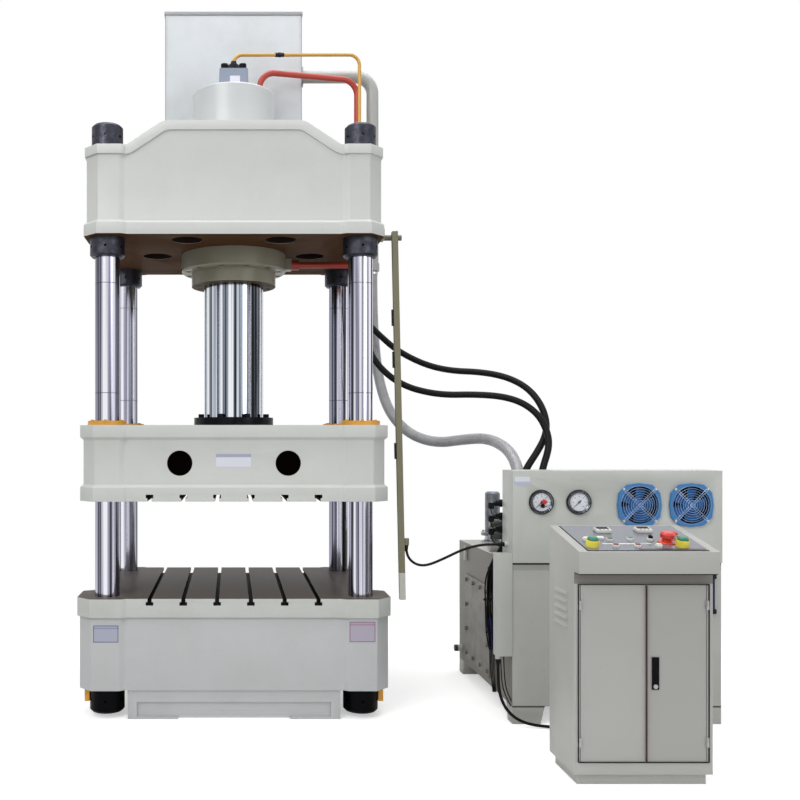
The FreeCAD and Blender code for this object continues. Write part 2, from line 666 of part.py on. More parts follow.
def crown():
    flange_z = CROWN_BOTTOM_Z + CROWN_LOWER_FLANGE
    cap_z = CROWN_BOSS_Z - CROWN_UPPER_FLANGE
    wall_y = BEAM_HALF_DEPTH - CROWN_LOWER_LIP - FRONT_RECESS
    end_x = BOSS_INNER_X - RECESS_STEP
    lower = beam_layer(CROWN_PLAN, CROWN_BOTTOM_Z, flange_z, CROWN_LOWER_LIP)
    lower_bevel = beam_bevel(CROWN_PLAN, flange_z, flange_z + FLANGE_BEVEL, CROWN_LOWER_LIP)
    walls = beam_layer(CROWN_PLAN, flange_z, CROWN_BOSS_Z, 0)
    upper = beam_layer(CROWN_PLAN, cap_z, CROWN_BOSS_Z, CROWN_UPPER_LIP)
    gap = block(-end_x, end_x, -BEAM_HALF_DEPTH, BEAM_HALF_DEPTH,
                cap_z - OVERCUT, CROWN_BOSS_Z + OVERCUT)
    slope = math.atan2(CROWN_HUMP_RISE, HUMP_FOOT_X - HUMP_TOP_X)
    shift = CROWN_UPPER_FLANGE * math.tan(slope / 2)
    hump = hump_prism(HUMP_FOOT_X, HUMP_TOP_X, 0, HUMP_FOOT_RADIUS, HUMP_TOP_RADIUS,
                      flange_z, wall_y)
    band = hump_prism(HUMP_FOOT_X, HUMP_TOP_X, 0, HUMP_FOOT_RADIUS, HUMP_TOP_RADIUS,
                      flange_z, wall_y + CROWN_UPPER_LIP)
    under_band = hump_prism(HUMP_FOOT_X - shift, HUMP_TOP_X - shift, CROWN_UPPER_FLANGE,
                            HUMP_FOOT_RADIUS + CROWN_UPPER_FLANGE,
                            HUMP_TOP_RADIUS - CROWN_UPPER_FLANGE,
                            flange_z - OVERCUT, BEAM_HALF_DEPTH)
    body = fuse([lower, lower_bevel, walls, upper.cut(gap), hump, band.cut(under_band)])
    bores = column_bores(COLUMN_DIAMETER + 2 * RUNNING_FIT, CROWN_BOTTOM_Z, CROWN_BOSS_Z)
    seat = rod(Vec(0, 0, CROWN_BOTTOM_Z - OVERCUT), UP, CYLINDER_DIAMETER + 2 * SEAT_GAP,
               CROWN_TOP_Z - CROWN_BOTTOM_Z + 2 * OVERCUT)
    return body.cut(bores + [seat] + relief_cells()).removeSplitter()


def relief_cells():
    """Round holes in the crown's bottom plate and the cells that they open into."""
    places = [(side * RELIEF_SIDE_X, 0) for side in SIDES]
    places += [(sx * RELIEF_FRONT_X, sy * RELIEF_FRONT_Y) for sx, sy in QUARTERS]
    half = RELIEF_CELL / 2
    cell_z = CROWN_BOTTOM_Z + CROWN_LOWER_FLANGE
    cutters = []
    for x, y in places:
        cutters.append(rod(Vec(x, y, CROWN_BOTTOM_Z - OVERCUT), UP, RELIEF_DIAMETER,
                           CROWN_LOWER_FLANGE + 2 * OVERCUT))
        cutters.append(block(x - half, x + half, y - half, y + half,
                             cell_z, cell_z + RELIEF_CELL_DEPTH))
    return cutters


def slide_beam():
    lower_z = SLIDE_BOTTOM_Z + SLIDE_LOWER_FLANGE
    upper_z = SLIDE_TOP_Z - SLIDE_UPPER_FLANGE
    body = fuse([
        beam_layer(SLIDE_PLAN, SLIDE_BOTTOM_Z, lower_z, SLIDE_LIP),
        beam_bevel(SLIDE_PLAN, lower_z, lower_z + FLANGE_BEVEL, SLIDE_LIP),
        beam_layer(SLIDE_PLAN, lower_z, upper_z, 0),
        beam_bevel(SLIDE_PLAN, upper_z, upper_z - FLANGE_BEVEL, SLIDE_LIP),
        beam_layer(SLIDE_PLAN, upper_z, SLIDE_TOP_Z, SLIDE_LIP)])
    bores = column_bores(BUSH_DIAMETER, SLIDE_BOTTOM_Z, SLIDE_TOP_Z)
    return body.cut(bores + slot_cutters(SLIDE_BOTTOM_Z, 1) + lift_cells()).removeSplitter()


def lift_cells():
    """Lifting holes in the slide's front and back walls and the cells behind them."""
    wall_y = BEAM_HALF_DEPTH - SLIDE_LIP - FRONT_RECESS
    inner_y = wall_y - SLIDE_WALL
    hole_z = SLIDE_BOTTOM_Z + LIFT_HOLE_RISE
    half_width = SLIDE_CELL_WIDTH / 2
    half_height = SLIDE_CELL_HEIGHT / 2
    cutters = []
    for sx, sy in QUARTERS:
        x = sx * LIFT_HOLE_X
        cutters.append(rod(Vec(x, sy * (wall_y + OVERCUT), hole_z), Vec(0, -sy, 0),
                           LIFT_HOLE_DIAMETER, SLIDE_WALL + 2 * OVERCUT))
        near_y = sy * inner_y
        far_y = sy * (inner_y - SLIDE_CELL_DEPTH)
        cutters.append(block(x - half_width, x + half_width, min(near_y, far_y), max(near_y, far_y),
                             hole_z - half_height, hole_z + half_height))
    return cutters


# ---------------------------------------------------------------- columns and nuts
def columns():
    return group([rod(Vec(place.x, place.y, COLUMN_FOOT_Z), UP, COLUMN_DIAMETER,
                      COLUMN_TOP_Z - COLUMN_FOOT_Z) for place in COLUMN_PLACES])


def nut(place, seat_z, direction, diameter, height):
    """Round nut with tommy-bar holes, chamfered at the end away from its seat."""
    seat = Vec(place.x, place.y, seat_z)
    body = chamfered_rod(seat, direction, diameter, height, NUT_CHAMFER)
    bore = rod(seat - direction * OVERCUT, direction, COLUMN_DIAMETER + 2 * RUNNING_FIT,
               height + 2 * OVERCUT)
    middle = seat + direction * (height / 2)
    hole = rod(middle + RIGHT * (diameter / 2 - TOMMY_DEPTH), RIGHT, TOMMY_DIAMETER,
               TOMMY_DEPTH + OVERCUT)
    holes = around(hole, TOMMY_HOLES, middle, UP, 360.0 / TOMMY_HOLES / 2)
    return body.cut([bore] + holes)


def column_nuts():
    nuts = []
    for place in COLUMN_PLACES:
        nuts.append(nut(place, CROWN_BOSS_Z, UP, UPPER_NUT_DIAMETER, UPPER_NUT_HEIGHT))
        nuts.append(nut(place, CROWN_BOTTOM_Z, DOWN, LOWER_NUT_DIAMETER, LOWER_NUT_HEIGHT))
        nuts.append(nut(place, BED_LEG_Z, DOWN, BED_NUT_DIAMETER, BED_NUT_HEIGHT))
    return group(nuts)


def nut_lock_plates():
    """Blocks under the bed that bear on the bed nuts from outside."""
    plates = []
    for place in COLUMN_PLACES:
        side = math.copysign(1, place.x)
        near_x = place.x + side * BED_NUT_DIAMETER / 2
        far_x = near_x + side * LOCK_PLATE_THICKNESS
        plates.append(block(min(near_x, far_x), max(near_x, far_x),
                            place.y - LOCK_PLATE_WIDTH / 2, place.y + LOCK_PLATE_WIDTH / 2,
                            BED_LEG_Z - LOCK_PLATE_HEIGHT, BED_LEG_Z))
    return group(plates)


# ---------------------------------------------------------------- cylinder, ram and slide fittings
def revolve(corners):
    """Solid turned about the Z axis from a half section of (radius, z, corner radius) points."""
    return Part.Face(outline(corners, in_front(0))).revolve(Vec(0, 0, 0), UP, 360)


def main_cylinder():
    flange_r = CYLINDER_FLANGE_DIAMETER / 2
    body_r = CYLINDER_DIAMETER / 2
    bore_r = PISTON_DIAMETER / 2 + RUNNING_FIT
    port_r = FILL_PORT_DIAMETER / 2
    barrel = revolve([
        (bore_r, GLAND_TOP_Z, 0),
        (flange_r - CYLINDER_EDGE, GLAND_TOP_Z, 0),
        (flange_r, GLAND_TOP_Z + CYLINDER_EDGE, 0),
        (flange_r, CROWN_BOTTOM_Z, 0),
        (body_r, CROWN_BOTTOM_Z, 0),
        (body_r, CYLINDER_TOP_Z, CYLINDER_EDGE),
        (port_r, CYLINDER_TOP_Z, 0),
        (port_r, BORE_TOP_Z, 0),
        (bore_r, BORE_TOP_Z, 0)])
    middle_z = (GLAND_TOP_Z + CROWN_BOTTOM_Z) / 2
    port = block(bore_r + CYLINDER_EDGE, flange_r + PORT_BLOCK_REACH,
                 -PORT_BLOCK_WIDTH / 2, PORT_BLOCK_WIDTH / 2,
                 middle_z - PORT_BLOCK_HEIGHT / 2, middle_z + PORT_BLOCK_HEIGHT / 2)
    return fuse([barrel, port]).cut(counterbores(flange_screw_radius(), GLAND_TOP_Z))


def cylinder_gland():
    bottom = Vec(0, 0, GLAND_BOTTOM_Z)
    ring = rod(bottom, UP, GLAND_DIAMETER, GLAND_HEIGHT)
    bore = rod(bottom - UP * OVERCUT, UP, RAM_DIAMETER + 2 * RUNNING_FIT, GLAND_HEIGHT + 2 * OVERCUT)
    return ring.cut([bore] + counterbores(screw_circle_radius(GLAND_DIAMETER), GLAND_BOTTOM_Z))


def screw_circle_radius(ring_diameter):
    """Screws sit midway between the ram and the rim of the ring that they hold."""
    return (RAM_DIAMETER + ring_diameter) / 4


def flange_screw_radius():
    """Screws of the cylinder's flange sit midway between the gland and the flange's edge."""
    return (GLAND_DIAMETER / 2 + CYLINDER_FLANGE_DIAMETER / 2 - CYLINDER_EDGE) / 2


def ring_of_screws(radius, shape):
    """Copies round the cylinder of a shape modelled on the screw axis through the origin."""
    placed = shape.copy()
    placed.translate(Vec(radius, 0, 0))
    return around(placed, GLAND_SCREWS, Vec(0, 0, 0), UP, 360.0 / GLAND_SCREWS / 2)


def counterbores(radius, face_z):
    """Cutters for the screw seats in a face that looks down."""
    return ring_of_screws(radius, rod(Vec(0, 0, face_z - OVERCUT), UP,
                                      GLAND_SCREW_DIAMETER + 2 * SEAT_GAP,
                                      OVERCUT + GLAND_SCREW_RECESS + GLAND_SCREW_HEAD))


def socket_head(start, direction, diameter, height):
    """Head of a cap screw with its hexagon socket in the far face."""
    across = diameter * SCREW_SOCKET_SHARE
    face = start + direction * height
    socket = prism([(across / 2 * math.cos(math.radians(60 * k)),
                     across / 2 * math.sin(math.radians(60 * k)), 0) for k in range(6)],
                   in_plan(0), direction * -SCREW_SOCKET_DEPTH)
    socket.translate(face)
    return rod(start, direction, diameter, height).cut(socket)


def cap_screws():
    """Screw heads under the gland, under the cylinder's flange and on the prefill valve."""
    heads = []
    for radius, face_z in ((screw_circle_radius(GLAND_DIAMETER), GLAND_BOTTOM_Z),
                           (flange_screw_radius(), GLAND_TOP_Z)):
        seat_z = face_z + GLAND_SCREW_RECESS + GLAND_SCREW_HEAD
        heads += ring_of_screws(radius, socket_head(Vec(0, 0, seat_z), DOWN, GLAND_SCREW_DIAMETER,
                                                    GLAND_SCREW_HEAD))
    corner = VALVE_TOP_WIDTH / 2 - VALVE_SCREW_INSET
    heads += [socket_head(Vec(sx * corner, sy * corner, VALVE_TOP_Z), UP,
                          VALVE_SCREW_DIAMETER, VALVE_SCREW_HEIGHT) for sx, sy in QUARTERS]
    return group(heads)


def square(half, corner_radius, z):
    return outline([(half, half, corner_radius), (-half, half, corner_radius),
                    (-half, -half, corner_radius), (half, -half, corner_radius)], in_plan(z))


def prefill_valve():
    body = Part.makeLoft([square(VALVE_WIDTH / 2, VALVE_EDGE, CYLINDER_TOP_Z),
                          square(VALVE_TOP_WIDTH / 2, VALVE_EDGE, VALVE_TOP_Z)], True, True)
    fitting = rod(Vec(0, 0, VALVE_TOP_Z - OVERCUT), UP, VALVE_FITTING_DIAMETER,
                  VALVE_FITTING_HEIGHT + OVERCUT)
    return fuse([body, fitting])


def ram():
    rod_body = rod(Vec(0, 0, SLIDE_TOP_Z), UP, RAM_DIAMETER, PISTON_TOP_Z - SLIDE_TOP_Z)
    piston = rod(Vec(0, 0, PISTON_TOP_Z - PISTON_HEIGHT), UP, PISTON_DIAMETER, PISTON_HEIGHT)
    return fuse([rod_body, piston])


def ram_clamp_ring():
    seat = Vec(0, 0, SLIDE_TOP_Z)
    return tube(seat, UP, CLAMP_RING_DIAMETER, RAM_DIAMETER + 2 * RUNNING_FIT, CLAMP_RING_HEIGHT)


def ram_clamp_bolts():
    place = Vec(screw_circle_radius(CLAMP_RING_DIAMETER), 0, SLIDE_TOP_Z + CLAMP_RING_HEIGHT)
    head = rod(place, UP, CLAMP_SCREW_DIAMETER, CLAMP_SCREW_HEAD)
    return group(around(head, CLAMP_SCREWS, Vec(0, 0, 0), UP, 360.0 / CLAMP_SCREWS / 2))


def column_wipers():
    return group([tube(Vec(place.x, place.y, SLIDE_TOP_Z), UP, WIPER_DIAMETER,
                       COLUMN_DIAMETER + 2 * RUNNING_FIT, WIPER_HEIGHT) for place in COLUMN_PLACES])


def guide_bushes():
    """Bronze bushes at the top and bottom of each column bore of the slide."""
    bushes = []
    for place in COLUMN_PLACES:
        for z in (SLIDE_BOTTOM_Z, SLIDE_TOP_Z - BUSH_LENGTH):
            bushes.append(tube(Vec(place.x, place.y, z), UP, BUSH_DIAMETER,
                               COLUMN_DIAMETER + 2 * RUNNING_FIT, BUSH_LENGTH))
    return group(bushes)


# ---------------------------------------------------------------- oil tank and pipes of the press
def crown_tank():
    back_y = TANK_FRONT_Y + TANK_DEPTH
    corners = [(TANK_HALF_WIDTH, TANK_FRONT_Y, TANK_EDGE), (TANK_HALF_WIDTH, back_y, TANK_EDGE),
               (-TANK_HALF_WIDTH, back_y, TANK_EDGE), (-TANK_HALF_WIDTH, TANK_FRONT_Y, TANK_EDGE)]
    return prism(corners, in_plan(CROWN_TOP_Z), UP * TANK_HEIGHT)


def crown_tank_lid():
    lid_z = CROWN_TOP_Z + TANK_HEIGHT
    return block(-TANK_HALF_WIDTH - TANK_LID_LIP, TANK_HALF_WIDTH + TANK_LID_LIP,
                 TANK_FRONT_Y - TANK_LID_LIP, TANK_FRONT_Y + TANK_DEPTH + TANK_LID_LIP,
                 lid_z, lid_z + TANK_LID)


def return_pipe():
    """Oil pipe from the tank's side down the back right of the press, with its hose collar."""
    axis_z = CROWN_TOP_Z + RETURN_PIPE_RISE
    start = Vec(TANK_HALF_WIDTH, RETURN_PIPE_Y, axis_z)
    low_end = Vec(RETURN_PIPE_X, RETURN_PIPE_Y, RETURN_PIPE_LOW_Z)
    run = pipe([start, Vec(RETURN_PIPE_X, RETURN_PIPE_Y, axis_z), low_end],
               RETURN_PIPE_DIAMETER, RETURN_PIPE_BEND)
    flange = rod(start, RIGHT, RETURN_PIPE_DIAMETER + 4 * RETURN_COLLAR, RETURN_COLLAR)
    collar = rod(low_end, UP, RETURN_PIPE_DIAMETER + RETURN_COLLAR, 4 * RETURN_COLLAR)
    return fuse([run, flange, collar])


def union(place, direction):
    """Screwed coupling at the end of a pipe."""
    return rod(place, direction, UNION_DIAMETER, UNION_LENGTH)


def pressure_pipes():
    """Red pipes from the two ends of the cylinder to the hoses at the right side."""
    upper_z = CYLINDER_TOP_Z + UPPER_PIPE_RISE
    upper_points = [Vec(UPPER_PIPE_START_X, UPPER_PIPE_START_Y, CYLINDER_TOP_Z),
                    Vec(UPPER_PIPE_START_X, UPPER_PIPE_START_Y, upper_z),
                    Vec(UPPER_PIPE_X, UPPER_PIPE_Y, upper_z),
                    Vec(UPPER_PIPE_X, UPPER_PIPE_Y, UPPER_PIPE_LOW_Z)]
    upper = pipe(upper_points, PRESSURE_PIPE_DIAMETER, PRESSURE_PIPE_BEND)
    lower_z = (GLAND_TOP_Z + CROWN_BOTTOM_Z) / 2
    port_x = CYLINDER_FLANGE_DIAMETER / 2 + PORT_BLOCK_REACH
    lower_points = [Vec(port_x, 0, lower_z), Vec(LOWER_PIPE_X, 0, lower_z),
                    Vec(LOWER_PIPE_X, 0, LOWER_PIPE_LOW_Z)]
    lower = pipe(lower_points, PRESSURE_PIPE_DIAMETER, PRESSURE_PIPE_BEND)
    return group([fuse([upper, union(upper_points[-1], UP)]),
                  fuse([lower, union(lower_points[-1], UP), union(lower_points[0], RIGHT)])])


def pilot_pipe():
    """Thin yellow pipe from the prefill valve to its end block on the crown's right side."""
    start_z = VALVE_TOP_Z + VALVE_FITTING_HEIGHT
    low_z = start_z + PILOT_PIPE_RISE
    points = [Vec(0, 0, start_z), Vec(0, 0, low_z),
              Vec(PILOT_PIPE_X, PILOT_PIPE_Y, low_z + PILOT_PIPE_SLOPE),
              Vec(PILOT_PIPE_X, PILOT_PIPE_Y, PILOT_PIPE_LOW_Z)]
    run = pipe(points, PILOT_PIPE_DIAMETER, PILOT_PIPE_BEND)
    wall_x = CROWN_HALF_WIDTH - CROWN_SIDE_RECESS
    end_block = block(wall_x, PILOT_PIPE_X + PILOT_BLOCK_REACH,
                      PILOT_PIPE_Y - PILOT_BLOCK_REACH, PILOT_PIPE_Y + PILOT_BLOCK_REACH,
                      PILOT_BLOCK_Z, PILOT_PIPE_LOW_Z)
    return fuse([run, end_block])


# ---------------------------------------------------------------- limit-switch rail
RAIL_LEAN = math.atan2(RAIL_FOOT_X - RAIL_TOP_X, RAIL_TOP_Z - RAIL_FOOT_Z)
RAIL_LENGTH = math.hypot(RAIL_FOOT_X - RAIL_TOP_X, RAIL_TOP_Z - RAIL_FOOT_Z)


def on_rail(shape):
    """Moves a shape modelled along -Z from the origin to the leaning rail."""
    placed = shape.copy()
    placed.rotate(Vec(0, 0, 0), FRONT, math.degrees(RAIL_LEAN))
    placed.translate(Vec(RAIL_TOP_X, RAIL_Y, RAIL_TOP_Z))
    return placed


def limit_rail():
    """Channel with its open side to the left and the switch cable's gland on its right."""
    half_width = RAIL_WIDTH / 2
    half_depth = RAIL_DEPTH / 2
    bar = block(-half_width, half_width, -half_depth, half_depth, -RAIL_LENGTH, 0)
    groove = block(-half_width - OVERCUT, half_width - RAIL_WALL,
                   -half_depth + RAIL_WALL, half_depth - RAIL_WALL,
                   -RAIL_LENGTH - OVERCUT, OVERCUT)
    gland = rod(Vec(*SWITCH_CABLE_ROUTE[0]), UP, GLAND_NUT_DIAMETER, 2 * GLAND_NUT_LENGTH)
    return fuse([on_rail(bar.cut(groove)), gland])


def limit_switches():
    """Switch bodies seated in the rail's groove."""
    half_depth = RAIL_DEPTH / 2 - RAIL_WALL
    back_x = RAIL_WIDTH / 2 - RAIL_WALL
    bodies = []
    for height in SWITCH_HEIGHTS:
        top = height - RAIL_TOP_Z
        bodies.append(on_rail(block(back_x - SWITCH_DEPTH - SWITCH_WIDTH, back_x,
                                    -half_depth, half_depth, top - SWITCH_LENGTH, top)))
    return group(bodies)


def rail_x_at(z):
    return RAIL_TOP_X + (RAIL_TOP_Z - z) * math.tan(RAIL_LEAN)


def rail_arm():
    """Bar from the crown's right front boss that carries the rail, with its end plate."""
    wall_x = CROWN_HALF_WIDTH + CROWN_LOWER_LIP
    arm_y = RAIL_Y + RAIL_DEPTH / 2 + RAIL_ARM_DIAMETER / 2
    arm_z = CROWN_BOTTOM_Z + RAIL_ARM_DIAMETER / 2
    reach = rail_x_at(arm_z) + RAIL_WIDTH / 2 - wall_x
    bar = rod(Vec(wall_x, arm_y, arm_z), RIGHT, RAIL_ARM_DIAMETER, reach + RAIL_ARM_END)
    plate = block(wall_x, wall_x + ARM_PLATE, arm_y - ARM_PLATE_WIDTH / 2, arm_y + ARM_PLATE_WIDTH / 2,
                  CROWN_BOTTOM_Z, CROWN_BOTTOM_Z + ARM_PLATE_HEIGHT)
    lug_x = rail_x_at(arm_z)
    lug = block(lug_x - RAIL_WIDTH / 2, lug_x + RAIL_WIDTH / 2, RAIL_Y + RAIL_DEPTH / 2, arm_y,
                CROWN_BOTTOM_Z, CROWN_BOTTOM_Z + RAIL_ARM_DIAMETER)
    return fuse([bar, plate, lug])


# ---------------------------------------------------------------- power unit
def unit_foot(x, y, side_x, side_y):
    """Folded pedestal that narrows towards the floor, its outer faces upright."""
    top = [(x, y, 0), (x + side_x * UNIT_FOOT_LENGTH, y, 0),
           (x + side_x * UNIT_FOOT_LENGTH, y + side_y * UNIT_FOOT_DEPTH, 0),
           (x, y + side_y * UNIT_FOOT_DEPTH, 0)]
    bottom = [(x, y, 0), (x + side_x * (UNIT_FOOT_LENGTH - UNIT_FOOT_TAPER), y, 0),
              (x + side_x * (UNIT_FOOT_LENGTH - UNIT_FOOT_TAPER),
               y + side_y * (UNIT_FOOT_DEPTH - UNIT_FOOT_TAPER), 0),
              (x, y + side_y * (UNIT_FOOT_DEPTH - UNIT_FOOT_TAPER), 0)]
    return Part.makeLoft([outline(bottom, in_plan(FLOOR_Z)), outline(top, in_plan(UNIT_BOTTOM_Z))],
                         True, True)


def reservoir():
    tank = block(UNIT_LEFT_X, UNIT_RIGHT_X, RESERVOIR_FRONT_Y, UNIT_BACK_Y, UNIT_BOTTOM_Z, UNIT_TOP_Z)
    feet = [unit_foot(UNIT_LEFT_X, RESERVOIR_FRONT_Y, 1, 1),
            unit_foot(UNIT_RIGHT_X, RESERVOIR_FRONT_Y, -1, 1),
            unit_foot(UNIT_LEFT_X, UNIT_BACK_Y, 1, -1), unit_foot(UNIT_RIGHT_X, UNIT_BACK_Y, -1, -1)]
    drain = rod(Vec(UNIT_LEFT_X + OVERCUT, UNIT_BACK_Y - DRAIN_INSET_Y, UNIT_BOTTOM_Z + DRAIN_RISE),
                Vec(-1, 0, 0), DRAIN_DIAMETER, DRAIN_LENGTH + OVERCUT)
    return fuse([tank, drain] + feet)


def reservoir_hatch():
    """Bolted cleaning hatch on the reservoir's left side."""
    back_y = UNIT_BACK_Y - HATCH_INSET_Y
    front_y = back_y - HATCH_WIDTH
    low_z = UNIT_BOTTOM_Z + HATCH_RISE
    high_z = low_z + HATCH_HEIGHT
    face_x = UNIT_LEFT_X - HATCH_PLATE
    plate = block(face_x, UNIT_LEFT_X, front_y, back_y, low_z, high_z)
    steps = [index / (HATCH_SCREWS - 1) for index in range(HATCH_SCREWS)]
    across = [front_y + HATCH_SCREW_INSET + step * (HATCH_WIDTH - 2 * HATCH_SCREW_INSET)
              for step in steps]
    upwards = [low_z + HATCH_SCREW_INSET + step * (HATCH_HEIGHT - 2 * HATCH_SCREW_INSET)
               for step in steps]
    places = {(y, z) for y in across for z in (upwards[0], upwards[-1])}
    places |= {(y, z) for y in (across[0], across[-1]) for z in upwards}
    heads = [rod(Vec(face_x + HATCH_PLATE / 2, y, z), Vec(-1, 0, 0), HATCH_SCREW_DIAMETER,
                 HATCH_SCREW_HEAD + HATCH_PLATE / 2) for y, z in sorted(places)]
    return fuse([plate] + heads)


def terminal_box():
    """Cable box on the left front edge of the reservoir, with the desk cable's gland below."""
    front_y = UNIT_FRONT_Y + TERMINAL_INSET
    case = block(UNIT_LEFT_X - TERMINAL_WIDTH, UNIT_LEFT_X, front_y, front_y + TERMINAL_DEPTH,
                 TERMINAL_BOTTOM_Z, TERMINAL_BOTTOM_Z + TERMINAL_HEIGHT)
    foot = rod(Vec(*DESK_CABLE_ROUTE[0]), UP, GLAND_NUT_DIAMETER, GLAND_NUT_LENGTH)
    return fuse([case, foot])


def fan_outline(grow, y):
    """Fan frame: a square with bulging sides and cut corners."""
    half = FAN_SIZE / 2 + grow
    mid = half + FAN_BULGE
    cut = FAN_CORNER
    quarter = [(half, -half + cut), (mid, 0), (half, half - cut), (half - cut / 2, half - cut / 2)]
    corners = []
    for index in range(4):
        angle = index * math.pi / 2
        for u, v in quarter:
            corners.append((u * math.cos(angle) - v * math.sin(angle),
                            u * math.sin(angle) + v * math.cos(angle), 0))
    return outline(corners, in_front(y))


def instrument_box():
    """Panel box on the reservoir with its gauge and fan openings and the switch cable's gland."""
    case = block(UNIT_LEFT_X, UNIT_RIGHT_X, UNIT_FRONT_Y, UNIT_FRONT_Y + BOX_DEPTH,
                 UNIT_TOP_Z, UNIT_TOP_Z + BOX_HEIGHT)
    holes = [rod(Vec(x, UNIT_FRONT_Y - OVERCUT, GAUGE_Z), BACK,
                 GAUGE_CASE_DIAMETER + 2 * SEAT_GAP, GAUGE_CASE_DEPTH + OVERCUT + SEAT_GAP)
             for x in GAUGE_X]
    holes += [rod(Vec(x, UNIT_FRONT_Y - OVERCUT, FAN_Z), BACK, FAN_BORE + 2 * FAN_RIM,
                  FAN_DEPTH + OVERCUT + SEAT_GAP) for x in FAN_X]
    gland = rod(Vec(*SWITCH_CABLE_ROUTE[-1]), RIGHT, GLAND_NUT_DIAMETER, GLAND_NUT_LENGTH)
    return fuse([case.cut(holes), gland])


def gauge_cases():
    """Flanged gauge cases with a dial recess and a spindle for the needle."""
    cases = []
    for x in GAUGE_X:
        panel = Vec(x, UNIT_FRONT_Y, GAUGE_Z)
        face = panel + FRONT * GAUGE_BEZEL
        bezel = rod(panel, FRONT, GAUGE_DIAMETER, GAUGE_BEZEL)
        dial = rod(face, BACK, GAUGE_DIAMETER - 2 * GAUGE_BEZEL_WALL, GAUGE_DIAL_DEPTH)
        body = rod(panel, BACK, GAUGE_CASE_DIAMETER, GAUGE_CASE_DEPTH)
        spindle = rod(face + BACK * GAUGE_DIAL_DEPTH, FRONT, SPINDLE_DIAMETER,
                      GAUGE_DIAL_DEPTH - GAUGE_GLASS - NEEDLE_THICKNESS)
        cases.append(fuse([bezel.cut(dial), body, spindle]))
    return group(cases)


def gauge_glasses():
    return group([rod(Vec(x, UNIT_FRONT_Y - GAUGE_BEZEL, GAUGE_Z), BACK,
                      GAUGE_DIAMETER - 2 * GAUGE_BEZEL_WALL, GAUGE_GLASS) for x in GAUGE_X])


def needle(x):
    """Tapered pointer that turns on the gauge's spindle."""
    dial_y = UNIT_FRONT_Y - GAUGE_BEZEL + GAUGE_DIAL_DEPTH
    y = dial_y - GAUGE_DIAL_DEPTH / 2
    half = NEEDLE_WIDTH / 2
    corners = [(-NEEDLE_TAIL, -half, 0), (0, -half, 0), (NEEDLE_LENGTH, 0, 0),
               (0, half, 0), (-NEEDLE_TAIL, half, 0)]
    pointer = prism(corners, in_front(y), BACK * NEEDLE_THICKNESS)
    hub = rod(Vec(0, y, 0), BACK, NEEDLE_HUB * 2, NEEDLE_THICKNESS)
    bore = rod(Vec(0, y - OVERCUT, 0), BACK, SPINDLE_DIAMETER + 2 * RUNNING_FIT,
               NEEDLE_THICKNESS + 2 * OVERCUT)
    placed = fuse([pointer, hub]).cut(bore)
    placed.rotate(Vec(0, 0, 0), FRONT, NEEDLE_ZERO)
    placed.translate(Vec(x, 0, GAUGE_Z))
    return placed


def fan_housings():
    """Fan frames with their ducts, motor struts, motors and shafts."""
    housings = []
    for x in FAN_X:
        rim = Part.Face(fan_outline(0, UNIT_FRONT_Y - FAN_RIM)).extrude(BACK * FAN_RIM)
        rim.translate(Vec(x, 0, FAN_Z))
        panel = Vec(x, UNIT_FRONT_Y, FAN_Z)
        back = panel + BACK * FAN_DEPTH
        duct = rod(panel, BACK, FAN_BORE + 2 * FAN_RIM - 2 * SEAT_GAP, FAN_DEPTH)
        bore = rod(panel + FRONT * (FAN_RIM + OVERCUT), BACK, FAN_BORE,
                   FAN_RIM + FAN_DEPTH + 2 * OVERCUT)
        motor = rod(back, FRONT, FAN_MOTOR_DIAMETER, FAN_MOTOR_DEPTH)
        shaft = rod(back + FRONT * FAN_MOTOR_DEPTH, FRONT, FAN_SHAFT_DIAMETER, FAN_HUB_DEPTH)
        strut = block(x - FAN_BORE / 2 - FAN_RIM / 2, x + FAN_BORE / 2 + FAN_RIM / 2,
                      back.y - FAN_STRUT, back.y, FAN_Z - FAN_STRUT / 2, FAN_Z + FAN_STRUT / 2)
        struts = around(strut, 2, panel, BACK, 45.0)
        struts[1].rotate(panel, BACK, -90.0)
        housings.append(fuse([rim.fuse(duct).cut(bore), motor, shaft] + struts))
    return group(housings)


def fan_rotor(x):
    """Hub with pitched blades that turns on the fan motor's shaft."""
    hub_y = UNIT_FRONT_Y + FAN_DEPTH - FAN_MOTOR_DEPTH - SEAT_GAP
    centre = Vec(x, hub_y - FAN_HUB_DEPTH / 2, FAN_Z)
    hub = rod(Vec(x, hub_y, FAN_Z), FRONT, FAN_HUB_DIAMETER, FAN_HUB_DEPTH)
    root = FAN_HUB_DIAMETER / 2 - FAN_HUB_DIAMETER / 8
    tip = FAN_BORE / 2 - FAN_TIP_GAP
    corners = [(root, -FAN_BLADE_ROOT / 2, 0), (tip, -FAN_BLADE_WIDTH / 2, 0),
               (tip, FAN_BLADE_WIDTH / 2, 0), (root, FAN_BLADE_ROOT / 2, 0)]
    blade = prism(corners, in_front(-FAN_BLADE_THICKNESS / 2), BACK * FAN_BLADE_THICKNESS)
    blade.rotate(Vec(0, 0, 0), RIGHT, FAN_BLADE_PITCH)
    blade.translate(centre)
    sweep_disc = rod(Vec(x, hub_y, FAN_Z), FRONT, 2 * tip, FAN_HUB_DEPTH)
    blades = around(blade.common(sweep_disc), FAN_BLADES, centre, BACK)
    bore = rod(Vec(x, hub_y + OVERCUT, FAN_Z), FRONT, FAN_SHAFT_DIAMETER + 2 * RUNNING_FIT,
               FAN_HUB_DEPTH + 2 * OVERCUT)
    return fuse([hub] + blades).cut(bore)


